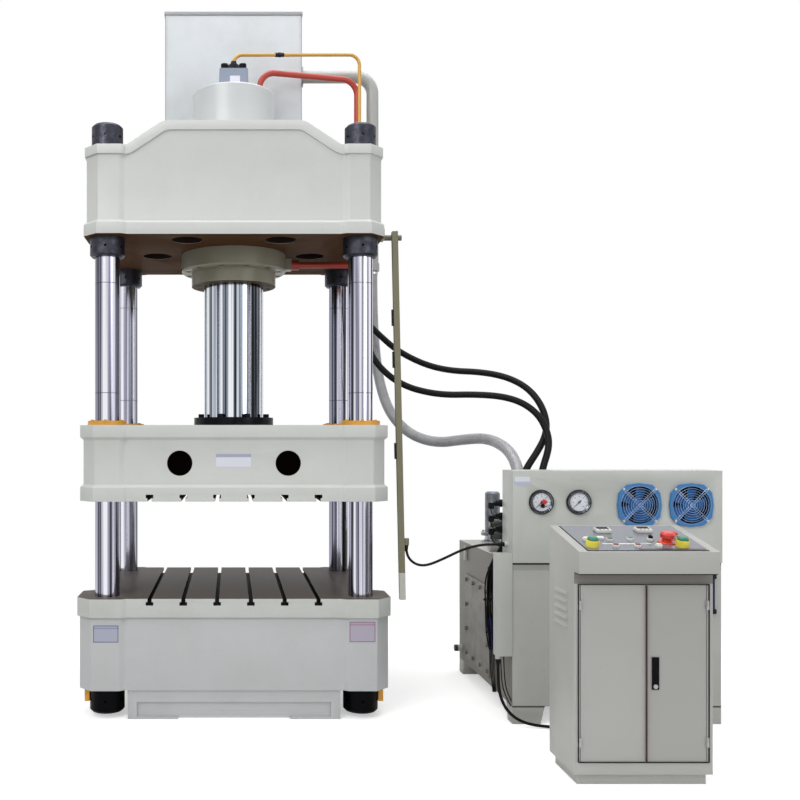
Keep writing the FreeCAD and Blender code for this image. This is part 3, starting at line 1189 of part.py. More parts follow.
def fan_guards():
    """Wire guards: rings on crossed pairs of braces."""
    guards = []
    for x in FAN_X:
        centre = Vec(x, UNIT_FRONT_Y - FAN_RIM, FAN_Z)
        rings = [tube(centre, FRONT, 2 * (index * GUARD_RING_STEP) + GUARD_WIRE,
                      2 * (index * GUARD_RING_STEP) - GUARD_WIRE, GUARD_WIRE)
                 for index in range(1, GUARD_RINGS + 1)]
        braces = []
        for side in SIDES:
            z = FAN_Z + side * GUARD_BRACE_GAP / 2
            brace = block(x - GUARD_BRACE_LENGTH / 2, x + GUARD_BRACE_LENGTH / 2,
                          centre.y - GUARD_WIRE, centre.y, z - GUARD_WIRE / 2, z + GUARD_WIRE / 2)
            for angle in (45.0, -45.0):
                turned = brace.copy()
                turned.rotate(centre, BACK, angle)
                braces.append(turned)
        guards.append(fuse(rings + braces))
    return group(guards)


def pump_motor():
    """Electric motor on its feet, with the bell housing that joins the pump."""
    axis_z = UNIT_TOP_Z + MOTOR_AXIS_RISE
    start = Vec(MOTOR_X, MOTOR_Y, axis_z)
    body = rod(start, RIGHT, MOTOR_DIAMETER, MOTOR_LENGTH)
    foot = block(MOTOR_X, MOTOR_X + MOTOR_LENGTH, MOTOR_Y - MOTOR_FOOT_WIDTH / 2,
                 MOTOR_Y + MOTOR_FOOT_WIDTH / 2, UNIT_TOP_Z, UNIT_TOP_Z + MOTOR_FOOT_THICKNESS)
    web = block(MOTOR_X + MOTOR_LENGTH / 4, MOTOR_X + MOTOR_LENGTH * 3 / 4,
                MOTOR_Y - MOTOR_FOOT_WIDTH / 4, MOTOR_Y + MOTOR_FOOT_WIDTH / 4, UNIT_TOP_Z, axis_z)
    middle_x = MOTOR_X + MOTOR_LENGTH / 2
    terminal = block(middle_x - MOTOR_BOX / 2, middle_x + MOTOR_BOX / 2,
                     MOTOR_Y - MOTOR_BOX / 2, MOTOR_Y + MOTOR_BOX / 2,
                     axis_z, axis_z + MOTOR_DIAMETER / 2 + MOTOR_BOX / 2)
    bell = Part.makeCone(BELL_DIAMETER / 2, PUMP_DIAMETER / 2, BELL_LENGTH, start, Vec(-1, 0, 0))
    return fuse([body, foot, web, terminal, bell])


def pump():
    """Axial piston pump behind the bell housing, with its pressure port."""
    start = Vec(MOTOR_X - BELL_LENGTH, MOTOR_Y, UNIT_TOP_Z + MOTOR_AXIS_RISE)
    body = chamfered_rod(start, Vec(-1, 0, 0), PUMP_DIAMETER, PUMP_LENGTH, CYLINDER_EDGE)
    middle = start - RIGHT * (PUMP_LENGTH / 2)
    suction = rod(middle, DOWN, RETURN_PIPE_DIAMETER, MOTOR_AXIS_RISE)
    return fuse([body, suction])


def valve_stack():
    """Manifold block with three banks of solenoid valves on its left side and hose ports on top."""
    top_z = UNIT_TOP_Z + MANIFOLD_HEIGHT
    right_x = MANIFOLD_X + MANIFOLD_WIDTH
    body = block(MANIFOLD_X, right_x, MANIFOLD_Y, MANIFOLD_Y + MANIFOLD_DEPTH, UNIT_TOP_Z, top_z)
    pieces = [body]
    pitch = MANIFOLD_HEIGHT / SOLENOID_ROWS
    back_y = MANIFOLD_Y + MANIFOLD_DEPTH
    for row in range(SOLENOID_ROWS):
        z = UNIT_TOP_Z + pitch * (row + 1 / 2)
        pieces.append(block(MANIFOLD_X, MANIFOLD_X + VALVE_BODY * 2, back_y, back_y + VALVE_BODY,
                            z - VALVE_BODY / 2, z + VALVE_BODY / 2))
        pieces.append(rod(Vec(MANIFOLD_X, back_y + VALVE_BODY / 2, z), Vec(-1, 0, 0),
                          SOLENOID_DIAMETER, SOLENOID_LENGTH))
    for route, diameter in ((UPPER_HOSE_ROUTE, HOSE_DIAMETER), (LOWER_HOSE_ROUTE, HOSE_DIAMETER),
                            (RETURN_HOSE_ROUTE, RETURN_HOSE_DIAMETER)):
        end = Vec(*route[-1])
        pieces.append(rod(Vec(end.x, end.y, top_z), UP, diameter + RETURN_COLLAR, end.z - top_z))
    return fuse(pieces)


def oil_filter():
    """Return filter: a bowl on a flanged base at the back left of the reservoir."""
    base = Vec(FILTER_X, FILTER_Y, UNIT_TOP_Z)
    flange = base + UP * FILTER_BASE_HEIGHT
    bowl = flange + UP * FILTER_FLANGE
    return fuse([rod(base, UP, FILTER_BASE_DIAMETER, FILTER_BASE_HEIGHT),
                 rod(flange, UP, FILTER_FLANGE_DIAMETER, FILTER_FLANGE),
                 chamfered_rod(bowl, UP, FILTER_DIAMETER, FILTER_HEIGHT, VALVE_EDGE)])


# ---------------------------------------------------------------- hoses and cables
HOSE_PORT_Z = UNIT_TOP_Z + MANIFOLD_HEIGHT + 2 * GLAND_NUT_LENGTH
UPPER_HOSE_ROUTE = [
    (UPPER_PIPE_X, UPPER_PIPE_Y, UPPER_PIPE_LOW_Z), (UPPER_PIPE_X, UPPER_PIPE_Y, 1715),
    (798, 259, 1636), (850, 246, 1565), (925, 226, 1486), (1020, 200, 1397), (1175, 155, 1310),
    (1320, 102, 1268), (1495, 28, 1255), (1627, -50, 1218), (1721, -125, 1150),
    (1771, -200, 1053), (1785, -255, 951), (1766, -292, 872), (1714, -325, 790),
    (1636, -345, 684), (1603, -352, 600), (1596, -352, 520), (1596, -352, HOSE_PORT_Z)]
LOWER_HOSE_ROUTE = [
    (LOWER_PIPE_X, 0, LOWER_PIPE_LOW_Z), (LOWER_PIPE_X, 0, 1458), (812, -4, 1385),
    (843, -12, 1320), (895, -24, 1256), (960, -38, 1200), (1062, -62, 1146), (1223, -105, 1110),
    (1401, -160, 1111), (1547, -213, 1097), (1650, -258, 1058), (1725, -300, 987),
    (1762, -332, 893), (1761, -364, 805), (1713, -390, 685), (1698, -395, 600),
    (1696, -395, 520), (1696, -395, HOSE_PORT_Z)]
RETURN_HOSE_ROUTE = [
    (RETURN_PIPE_X, RETURN_PIPE_Y, RETURN_PIPE_LOW_Z), (RETURN_PIPE_X, RETURN_PIPE_Y, 1710),
    (895, 332, 1450), (920, 302, 1210), (980, 262, 1010), (1095, 204, 878), (1245, 130, 826),
    (1390, 30, 850), (1495, -90, 858), (1563, -250, 800), (1583, -368, 700), (1571, -438, 575),
    (1571, -438, HOSE_PORT_Z)]
SWITCH_CABLE_ROUTE = [
    (944, -458, 272), (944, -458, 226), (968, -459, 184), (1010, -464, 160), (1062, -474, 163),
    (1143, -495, 202), (1234, -520, 253), (1322, -545, 282), (1398, -570, 288),
    (UNIT_LEFT_X - GLAND_NUT_LENGTH, -570, 288)]
DESK_CABLE_ROUTE = [
    (1396, -627, TERMINAL_BOTTOM_Z - GLAND_NUT_LENGTH), (1396, -627, -395), (1398, -638, -484),
    (1420, -672, -560), (1472, -700, -610), (1548, -716, -634), (1650, -728, -640),
    (1748, -775, -640), (1800, -868, -640), (1806, -940, -640), (1804, -1010, -626),
    (1801, -1060, -582), (1800, -1111, -560), (1800, DESK_BACK_Y + 2 * GLAND_NUT_LENGTH, -560)]


# ---------------------------------------------------------------- control desk
def desk_profile(inset, x, width):
    """Desk case seen from the side: upright front, overhanging head and sloping top."""
    corners = [
        (DESK_FRONT_Y + inset, DESK_BOTTOM_Z + inset, 0),
        (DESK_BACK_Y - inset, DESK_BOTTOM_Z + inset, 0),
        (DESK_BACK_Y - inset, DESK_BACK_Z - inset * slope_factor(), 0),
        (DESK_HEAD_Y + inset, DESK_EDGE_Z - inset * slope_factor(), 0),
        (DESK_HEAD_Y + inset, DESK_HEAD_Z + inset, 0),
        (DESK_FRONT_Y + inset, DESK_HEAD_Z + inset, 0)]
    return prism(corners, in_side(x), RIGHT * width)


def slope_factor():
    return 1 / math.cos(DESK_SLOPE) + math.tan(DESK_SLOPE)


def on_desk_top(shape):
    """Moves a shape modelled on the XY plane (X right, Y up the slope) to the sloping top."""
    placed = shape.copy()
    placed.rotate(Vec(0, 0, 0), RIGHT, math.degrees(DESK_SLOPE))
    placed.translate(Vec(0, DESK_HEAD_Y, DESK_EDGE_Z))
    return placed


def slope_distance(y):
    """Distance up the slope of a point of the desk top given by its Y."""
    return (y - DESK_HEAD_Y) / math.cos(DESK_SLOPE)


PushButton = namedtuple("PushButton", "name x y")
PUSH_BUTTONS = [
    PushButton("push_button_maroon_left", 1649.0, -1493.0),
    PushButton("push_button_maroon_right", 1744.0, -1493.0),
    PushButton("push_button_white_front", 1834.0, -1496.0),
    PushButton("push_button_white_left", 1552.0, -1409.0),
    PushButton("push_button_dark_green", 1657.0, -1412.0),
    PushButton("push_button_green", 1750.0, -1404.0)]
PALM_BUTTONS = [PushButton("palm_button_left", 1548.0, -1490.0),
                PushButton("palm_button_right", 1938.0, -1490.0)]
STOP_BUTTON = PushButton("emergency_stop", 1896.0, -1438.0)
SELECTOR = PushButton("mode_selector", 1838.0, -1407.0)
LAMPS = [PushButton("signal_lamp", 1968.0, -1352.0)]
TIMERS = [PushButton("timer_left", 1672.0, -1296.0), PushButton("timer_right", 1858.0, -1292.0)]


def panel_cylinder(place, diameter, low, high):
    """Cylinder square to the desk top, from height low to height high over it."""
    return on_desk_top(rod(Vec(place.x, slope_distance(place.y), low), UP, diameter, high - low))


def desk_panel():
    """Instrument plate with button bezels, shrouds, a lamp and timers fixed to it."""
    left = DESK_LEFT_X + PANEL_MARGIN_X
    plate = on_desk_top(block(left, left + DESK_WIDTH - 2 * PANEL_MARGIN_X, PANEL_MARGIN_Y,
                              DESK_SLOPE_LENGTH - PANEL_MARGIN_Y, 0, PANEL_PLATE))
    raised = [panel_cylinder(place, BEZEL_DIAMETER, 0, PANEL_PLATE + BEZEL_HEIGHT)
              for place in PUSH_BUTTONS + [SELECTOR]]
    raised += [panel_cylinder(place, PALM_SHROUD_DIAMETER, 0, PANEL_PLATE + PALM_SHROUD_HEIGHT)
               for place in PALM_BUTTONS]
    raised.append(panel_cylinder(STOP_BUTTON, STOP_COLLAR_DIAMETER, 0,
                                 PANEL_PLATE + STOP_COLLAR_HEIGHT))
    raised += [panel_cylinder(place, LAMP_DIAMETER, 0, PANEL_PLATE + LAMP_HEIGHT)
               for place in LAMPS]
    raised += [on_desk_top(block(place.x - TIMER_WIDTH / 2, place.x + TIMER_WIDTH / 2,
                                 slope_distance(place.y) - TIMER_DEPTH / 2,
                                 slope_distance(place.y) + TIMER_DEPTH / 2,
                                 0, PANEL_PLATE + TIMER_HEIGHT)) for place in TIMERS]
    cap_bore = CAP_DIAMETER + 2 * (SEAT_GAP / 2)
    holes = [panel_cylinder(place, cap_bore, PANEL_PLATE, PANEL_PLATE + BEZEL_HEIGHT + OVERCUT)
             for place in PUSH_BUTTONS + [SELECTOR]]
    holes += [panel_cylinder(place, PALM_CAP_DIAMETER + 2 * SEAT_GAP, PANEL_PLATE + PALM_TRAVEL,
                             PANEL_PLATE + PALM_SHROUD_HEIGHT + OVERCUT) for place in PALM_BUTTONS]
    holes += [panel_cylinder(place, CAP_STEM_DIAMETER + 2 * RUNNING_FIT, -OVERCUT,
                             PANEL_PLATE + PALM_SHROUD_HEIGHT)
              for place in PUSH_BUTTONS + PALM_BUTTONS + [STOP_BUTTON, SELECTOR]]
    return fuse([plate] + raised).cut(holes)


def push_button(place):
    """Flush cap on a stem that passes through the bezel and the panel."""
    seat = PANEL_PLATE + CAP_TRAVEL
    cap = panel_cylinder(place, CAP_DIAMETER, seat + SEAT_GAP / 2, seat + CAP_HEIGHT)
    stem = panel_cylinder(place, CAP_STEM_DIAMETER, seat - CAP_STEM_LENGTH, seat + SEAT_GAP)
    return fuse([cap, stem])


def palm_button(place):
    """Domed palm cap inside its shroud."""
    low = PANEL_PLATE + 2 * PALM_TRAVEL + SEAT_GAP
    high = PANEL_PLATE + PALM_SHROUD_HEIGHT + PALM_CAP_HEIGHT
    cap = on_desk_top(chamfered_rod(Vec(place.x, slope_distance(place.y), low), UP,
                                    PALM_CAP_DIAMETER, high - low, PALM_CAP_HEIGHT / 2))
    stem = panel_cylinder(place, CAP_STEM_DIAMETER, low - CAP_STEM_LENGTH, low + SEAT_GAP)
    return fuse([cap, stem])


def emergency_stop():
    low = PANEL_PLATE + STOP_COLLAR_HEIGHT + PALM_TRAVEL + SEAT_GAP
    cap = on_desk_top(chamfered_rod(Vec(STOP_BUTTON.x, slope_distance(STOP_BUTTON.y), low), UP,
                                    STOP_CAP_DIAMETER, STOP_CAP_HEIGHT, STOP_CAP_HEIGHT / 3))
    stem = panel_cylinder(STOP_BUTTON, CAP_STEM_DIAMETER, low - CAP_STEM_LENGTH, low + SEAT_GAP)
    return fuse([cap, stem])


def mode_selector():
    """Turning knob with a raised grip."""
    low = PANEL_PLATE + SEAT_GAP
    disc = panel_cylinder(SELECTOR, CAP_DIAMETER, low, low + CAP_HEIGHT)
    stem = panel_cylinder(SELECTOR, CAP_STEM_DIAMETER, low - CAP_STEM_LENGTH, low + SEAT_GAP)
    centre = slope_distance(SELECTOR.y)
    grip = on_desk_top(block(SELECTOR.x - CAP_STEM_DIAMETER / 2, SELECTOR.x + CAP_STEM_DIAMETER / 2,
                             centre - CAP_DIAMETER / 2, centre + CAP_DIAMETER / 2,
                             low + CAP_HEIGHT - SEAT_GAP, low + 2 * CAP_HEIGHT))
    return fuse([disc, stem, grip])


def hinge_axis(side):
    """X of the left (-1) or right (+1) door's hinge axis."""
    edge = DESK_WIDTH / 2 - DOOR_OPENING_LEFT
    return DESK_CENTRE_X + side * edge


HINGE_Y = DESK_FRONT_Y - HINGE_RADIUS - HINGE_FACE_GAP


def desk_cabinet():
    """Sheet case with its plinth, hinge posts, louvres and cable gland."""
    case = desk_profile(0, DESK_LEFT_X, DESK_WIDTH)
    hollow = desk_profile(DESK_SHEET, DESK_LEFT_X + DESK_SHEET, DESK_WIDTH - 2 * DESK_SHEET)
    opening = block(hinge_axis(-1), hinge_axis(1), DESK_FRONT_Y - OVERCUT,
                    DESK_FRONT_Y + DESK_SHEET + OVERCUT, DOOR_BOTTOM_Z, DOOR_TOP_Z)
    inset = DESK_PLINTH_INSET
    plinth = block(DESK_LEFT_X + inset, DESK_LEFT_X + DESK_WIDTH - inset, DESK_FRONT_Y + inset,
                   DESK_BACK_Y - inset, DESK_BOTTOM_Z - DESK_PLINTH, DESK_BOTTOM_Z)
    pieces = [case, plinth]
    pins = []
    for side in SIDES:
        for z in HINGE_HEIGHTS:
            axis = Vec(hinge_axis(side), HINGE_Y, z)
            pieces.append(rod(axis, UP, 2 * HINGE_RADIUS, HINGE_LEAF))
            pieces.append(hinge_leaf(side, z, side))
            pins.append(rod(axis, UP, 2 * HINGE_PIN_RADIUS, 2 * HINGE_LEAF))
    louvre_y = DESK_FRONT_Y + DESK_DEPTH / 2
    for row in range(LOUVRE_ROWS):
        top = LOUVRE_TOP_Z - row * LOUVRE_PITCH
        x = DESK_LEFT_X
        corners = [(x, top, 0), (x, top - LOUVRE_HEIGHT, 0), (x - LOUVRE_DEPTH, top - LOUVRE_HEIGHT, 0)]
        pieces.append(prism(corners, in_front(louvre_y - LOUVRE_LENGTH / 2), BACK * LOUVRE_LENGTH))
    gland_y = DESK_BACK_Y + 2 * GLAND_NUT_LENGTH
    pieces.append(rod(Vec(DESK_CABLE_ROUTE[-1][0], gland_y, DESK_CABLE_ROUTE[-1][2]), FRONT,
                      GLAND_NUT_DIAMETER, 2 * GLAND_NUT_LENGTH + DESK_SHEET))
    shell = fuse(pieces).cut([hollow, opening] + panel_stem_holes())
    return fuse([shell] + pins)


def panel_stem_holes():
    """Clearance through the desk's top sheet for everything that works behind the panel."""
    return [panel_cylinder(place, CAP_STEM_DIAMETER + 4 * SEAT_GAP, -2 * DESK_SHEET, 0)
            for place in PUSH_BUTTONS + PALM_BUTTONS + [STOP_BUTTON, SELECTOR]]


def hinge_leaf(side, z, towards):
    """Flat leaf that joins a hinge knuckle to the frame or to the door, on the side towards."""
    x = hinge_axis(side)
    far = x + towards * 2 * HINGE_RADIUS
    return block(min(x, far), max(x, far), HINGE_Y + HINGE_RADIUS - DESK_SHEET / 2,
                 DESK_FRONT_Y, z, z + HINGE_LEAF)


def desk_door(side):
    """Folded door pan with its halves of the hinges; the right one carries the lock housing."""
    hinge_x = hinge_axis(side)
    meet_x = DOOR_SPLIT_X + side * DOOR_GAP / 2
    low_x = min(hinge_x - side * DOOR_GAP, meet_x)
    high_x = max(hinge_x - side * DOOR_GAP, meet_x)
    low_z = DOOR_BOTTOM_Z + DOOR_GAP
    high_z = DOOR_TOP_Z - DOOR_GAP
    back_y = DESK_FRONT_Y + DOOR_THICKNESS
    pan = block(low_x, high_x, DESK_FRONT_Y, back_y, low_z, high_z)
    hollow = block(low_x + DOOR_SHEET, high_x - DOOR_SHEET, DESK_FRONT_Y + DOOR_SHEET,
                   back_y + OVERCUT, low_z + DOOR_SHEET, high_z - DOOR_SHEET)
    pieces = [pan.cut(hollow)]
    bores = []
    for z in HINGE_HEIGHTS:
        upper = z + HINGE_LEAF + HINGE_FACE_GAP
        axis = Vec(hinge_x, HINGE_Y, upper)
        pieces.append(rod(axis, UP, 2 * HINGE_RADIUS, HINGE_LEAF))
        pieces.append(hinge_leaf(side, upper, -side))
        bores.append(rod(axis - UP * OVERCUT, UP, 2 * (HINGE_PIN_RADIUS + RUNNING_FIT),
                         HINGE_LEAF + OVERCUT))
    if side > 0:
        pieces.append(lock_housing())
        bores.append(lock_recess())
    door = fuse(pieces).cut(bores)
    return fuse([door, lever_pin(0)]) if side > 0 else door


def lock_housing():
    half = LOCK_WIDTH / 2
    low = LOCK_TOP_Z - LOCK_HEIGHT
    front_y = DESK_FRONT_Y - LOCK_PROUD
    body = block(LOCK_X - half, LOCK_X + half, front_y, DESK_FRONT_Y + LOCK_RECESS + LOCK_RIM,
                 low, LOCK_TOP_Z)
    key = rod(Vec(LOCK_X, front_y, low + LOCK_RIM + KEY_DIAMETER / 2), FRONT, KEY_DIAMETER, LOCK_RIM)
    return body.fuse(key)


def lock_recess():
    """Dish that the lever lies in."""
    half = LOCK_WIDTH / 2 - LOCK_RIM
    top = LOCK_TOP_Z - LOCK_RIM
    return block(LOCK_X - half, LOCK_X + half, DESK_FRONT_Y - LOCK_PROUD - OVERCUT,
                 DESK_FRONT_Y + LOCK_RECESS, top - LEVER_HEIGHT - 2 * LEVER_GAP, top)


def lever_pin(clearance):
    """Pin across the recess that the lever turns on."""
    reach = LOCK_WIDTH / 2 - LOCK_RIM / 2
    return rod(Vec(LOCK_X - reach, LEVER_AXIS_Y, LEVER_AXIS_Z), RIGHT,
               LEVER_PIN_DIAMETER + 2 * clearance, 2 * reach)


LEVER_AXIS_Y = DESK_FRONT_Y - LOCK_PROUD + LEVER_THICKNESS / 2
LEVER_AXIS_Z = LOCK_TOP_Z - LOCK_RIM - LEVER_GAP - LEVER_THICKNESS / 2


def door_lock_lever():
    """Pop-out lever that turns about a pin at its top."""
    half = LOCK_WIDTH / 2 - LOCK_RIM - LEVER_GAP
    top = LEVER_AXIS_Z
    low = LOCK_TOP_Z - LOCK_RIM - LEVER_GAP - LEVER_HEIGHT
    plate = block(LOCK_X - half, LOCK_X + half, LEVER_AXIS_Y - LEVER_THICKNESS / 2,
                  LEVER_AXIS_Y + LEVER_THICKNESS / 2, low, top)
    barrel = rod(Vec(LOCK_X - half, LEVER_AXIS_Y, LEVER_AXIS_Z), RIGHT, LEVER_THICKNESS, 2 * half)
    return fuse([plate, barrel]).cut(lever_pin(RUNNING_FIT))


# ---------------------------------------------------------------- export
def build():
    """All nodes by name."""
    nodes = {
        "bed_box": bed_box(), "bed_table": bed_table(), "crown": crown(),
        "columns": columns(), "column_nuts": column_nuts(), "nut_lock_plates": nut_lock_plates(),
        "main_cylinder": main_cylinder(), "cylinder_gland": cylinder_gland(),
        "cap_screws": cap_screws(), "prefill_valve": prefill_valve(),
        "crown_tank": crown_tank(), "crown_tank_lid": crown_tank_lid(),
        "return_pipe": return_pipe(), "pressure_pipes": pressure_pipes(),
        "pilot_pipe": pilot_pipe(), "limit_rail": limit_rail(),
        "limit_switches": limit_switches(), "rail_arm": rail_arm(),
        "slide_beam": slide_beam(), "ram": ram(), "ram_clamp_ring": ram_clamp_ring(),
        "ram_clamp_bolts": ram_clamp_bolts(), "column_wipers": column_wipers(),
        "guide_bushes": guide_bushes(),
        "reservoir": reservoir(), "reservoir_hatch": reservoir_hatch(),
        "terminal_box": terminal_box(), "instrument_box": instrument_box(),
        "gauge_cases": gauge_cases(), "gauge_glasses": gauge_glasses(),
        "needle_left": needle(GAUGE_X[0]), "needle_right": needle(GAUGE_X[1]),
        "fan_housings": fan_housings(), "fan_guards": fan_guards(),
        "fan_rotor_left": fan_rotor(FAN_X[0]), "fan_rotor_right": fan_rotor(FAN_X[1]),
        "pump_motor": pump_motor(), "pump": pump(), "valve_stack": valve_stack(),
        "oil_filter": oil_filter(),
        "hose_upper": cord("hose_upper", UPPER_HOSE_ROUTE, HOSE_DIAMETER),
        "hose_lower": cord("hose_lower", LOWER_HOSE_ROUTE, HOSE_DIAMETER),
        "return_hose": cord("return_hose", RETURN_HOSE_ROUTE, RETURN_HOSE_DIAMETER),
        "switch_cable": cord("switch_cable", SWITCH_CABLE_ROUTE, SWITCH_CABLE_DIAMETER),
        "desk_cable": cord("desk_cable", DESK_CABLE_ROUTE, DESK_CABLE_DIAMETER),
        "desk_cabinet": desk_cabinet(), "desk_panel": desk_panel(),
        "desk_door_left": desk_door(-1), "desk_door_right": desk_door(1),
        "door_lock_lever": door_lock_lever(), "emergency_stop": emergency_stop(),
        "mode_selector": mode_selector(),
    }
    nodes.update({place.name: push_button(place) for place in PUSH_BUTTONS})
    nodes.update({place.name: palm_button(place) for place in PALM_BUTTONS})
    return nodes


os.makedirs("parts", exist_ok=True)
for node_name, node_shape in build().items():
    node_shape.exportStep("parts/%s.step" % node_name)
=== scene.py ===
"""Column-guided hydraulic press with its power unit and control desk: finishes, fine parts and studio."""

import json
import logging
import math
from dataclasses import dataclass
from enum import Enum
from typing import Any, Iterable, Sequence

import bmesh
import bpy
from mathutils import Matrix, Vector
from mathutils.bvhtree import BVHTree
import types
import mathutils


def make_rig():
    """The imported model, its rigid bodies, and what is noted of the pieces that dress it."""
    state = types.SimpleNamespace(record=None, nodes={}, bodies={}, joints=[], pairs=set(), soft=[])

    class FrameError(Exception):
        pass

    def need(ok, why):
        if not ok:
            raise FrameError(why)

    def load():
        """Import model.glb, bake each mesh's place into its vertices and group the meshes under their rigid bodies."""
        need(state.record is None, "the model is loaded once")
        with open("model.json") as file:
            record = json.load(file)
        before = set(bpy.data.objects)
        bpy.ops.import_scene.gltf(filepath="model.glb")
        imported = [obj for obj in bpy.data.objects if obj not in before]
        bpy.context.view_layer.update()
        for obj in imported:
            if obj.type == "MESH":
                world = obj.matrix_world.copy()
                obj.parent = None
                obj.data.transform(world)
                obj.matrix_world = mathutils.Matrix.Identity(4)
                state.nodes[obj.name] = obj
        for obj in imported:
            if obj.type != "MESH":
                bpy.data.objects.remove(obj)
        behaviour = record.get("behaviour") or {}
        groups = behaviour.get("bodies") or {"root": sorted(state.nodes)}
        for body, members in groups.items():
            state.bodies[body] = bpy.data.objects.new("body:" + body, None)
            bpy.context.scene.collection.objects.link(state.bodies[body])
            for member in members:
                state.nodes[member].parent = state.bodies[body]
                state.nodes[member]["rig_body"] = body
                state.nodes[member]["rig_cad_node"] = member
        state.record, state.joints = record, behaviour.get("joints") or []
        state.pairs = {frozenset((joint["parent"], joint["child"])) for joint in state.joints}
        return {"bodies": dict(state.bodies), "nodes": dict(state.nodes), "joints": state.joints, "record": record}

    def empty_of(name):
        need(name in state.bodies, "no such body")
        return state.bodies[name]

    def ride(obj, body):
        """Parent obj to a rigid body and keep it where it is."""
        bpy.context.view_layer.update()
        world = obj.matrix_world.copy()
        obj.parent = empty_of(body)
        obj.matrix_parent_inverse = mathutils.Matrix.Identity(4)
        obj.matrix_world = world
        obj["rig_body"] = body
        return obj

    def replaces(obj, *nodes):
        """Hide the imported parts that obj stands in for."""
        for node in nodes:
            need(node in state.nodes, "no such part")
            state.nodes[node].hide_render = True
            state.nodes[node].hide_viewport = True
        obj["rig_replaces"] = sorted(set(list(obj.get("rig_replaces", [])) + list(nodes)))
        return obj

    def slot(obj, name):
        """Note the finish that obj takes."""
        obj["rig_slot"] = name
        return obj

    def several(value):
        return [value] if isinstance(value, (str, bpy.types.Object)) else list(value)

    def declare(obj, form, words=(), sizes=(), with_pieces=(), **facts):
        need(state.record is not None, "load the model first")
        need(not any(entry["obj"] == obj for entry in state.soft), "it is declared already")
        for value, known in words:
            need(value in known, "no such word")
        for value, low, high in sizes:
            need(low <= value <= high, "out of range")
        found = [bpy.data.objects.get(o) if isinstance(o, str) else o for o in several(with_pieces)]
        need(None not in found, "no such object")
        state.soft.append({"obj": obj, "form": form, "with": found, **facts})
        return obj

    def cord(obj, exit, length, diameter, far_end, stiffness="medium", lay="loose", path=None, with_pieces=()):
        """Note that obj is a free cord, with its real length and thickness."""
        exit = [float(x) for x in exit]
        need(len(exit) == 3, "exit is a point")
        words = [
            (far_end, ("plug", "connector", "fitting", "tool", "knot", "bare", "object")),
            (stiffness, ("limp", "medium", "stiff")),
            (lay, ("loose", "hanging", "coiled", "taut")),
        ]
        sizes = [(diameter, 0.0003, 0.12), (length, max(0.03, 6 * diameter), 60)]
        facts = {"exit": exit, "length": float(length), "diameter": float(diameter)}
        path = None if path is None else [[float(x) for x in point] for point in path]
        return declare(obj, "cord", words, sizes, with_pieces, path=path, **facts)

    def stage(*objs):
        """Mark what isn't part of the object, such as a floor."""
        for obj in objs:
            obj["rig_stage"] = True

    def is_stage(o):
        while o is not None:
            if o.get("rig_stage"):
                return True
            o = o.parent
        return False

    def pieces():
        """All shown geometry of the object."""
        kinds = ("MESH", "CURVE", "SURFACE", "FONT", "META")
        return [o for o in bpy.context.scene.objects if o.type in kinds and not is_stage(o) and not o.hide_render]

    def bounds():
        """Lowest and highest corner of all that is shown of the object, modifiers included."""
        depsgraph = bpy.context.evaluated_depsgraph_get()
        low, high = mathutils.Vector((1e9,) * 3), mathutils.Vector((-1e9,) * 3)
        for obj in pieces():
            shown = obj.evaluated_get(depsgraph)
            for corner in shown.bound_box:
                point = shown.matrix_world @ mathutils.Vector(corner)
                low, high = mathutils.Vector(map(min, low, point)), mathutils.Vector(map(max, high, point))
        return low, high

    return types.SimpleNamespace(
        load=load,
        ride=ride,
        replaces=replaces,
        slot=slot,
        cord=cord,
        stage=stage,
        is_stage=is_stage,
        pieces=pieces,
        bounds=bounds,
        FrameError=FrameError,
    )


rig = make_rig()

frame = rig.load()
CAD_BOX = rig.bounds()
LOG = logging.getLogger("press")
SIZE_FILE = "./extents.json"
MM = 0.001
UP = Vector((0.0, 0.0, 1.0))
FRONT = Vector((0.0, -1.0, 0.0))
LEFT = Vector((-1.0, 0.0, 0.0))
ROOT_BODY = "frame"
SLIDE_BODY = "slide"
CORNERS = ((-1, -1), (1, -1), (1, 1), (-1, 1))
SMOOTH_UNDER = math.radians(30)     # faces that meet at less are shaded as one surface
SHARP_OVER = math.radians(28)       # edges of a casting that are ground round

Pair = tuple[float, float]
Point = tuple[float, float, float]
Plate = tuple[str, Pair, Pair]      # a blank plate's name, its middle's X and Z, and its size, in mm
Inputs = dict[str | int, Any]       # a node's attributes and inputs by name or number


# ---------------------------------------------------------------- small helpers
def linear(code: str) -> tuple[float, float, float, float]:
    """Turn an sRGB hex colour into linear light.

    Args:
        code: The colour as "#rrggbb".

    Returns:
        Red, green, blue and alpha.
    """
    channels = [int(code[place:place + 2], 16) / 255 for place in (1, 3, 5)]
    light = [c / 12.92 if c <= 0.04045 else ((c + 0.055) / 1.055) ** 2.4 for c in channels]
    return (light[0], light[1], light[2], 1.0)


def add(tree: bpy.types.NodeTree, kind: str, inputs: Inputs | None = None) -> bpy.types.Node:
    """Add a node with its settings and its incoming links.

    Args:
        tree: The node tree that gets the node.
        kind: The node's type name.
        inputs: Attributes by name, and by an input's name or number its value, the socket that feeds
            it, the node whose first output in use does, or a list of such nodes.

    Returns:
        The new node.
    """
    node = tree.nodes.new(kind)
    for key, given in (inputs or {}).items():
        for value in given if isinstance(given, list) else [given]:
            if isinstance(value, bpy.types.Node):
                value = next(socket for socket in value.outputs if socket.enabled)
            if isinstance(value, bpy.types.NodeSocket):
                tree.links.new(value, node.inputs[key])
            elif isinstance(key, str) and hasattr(node, key):
                setattr(node, key, value)
            else:
                node.inputs[key].default_value = value
    return node


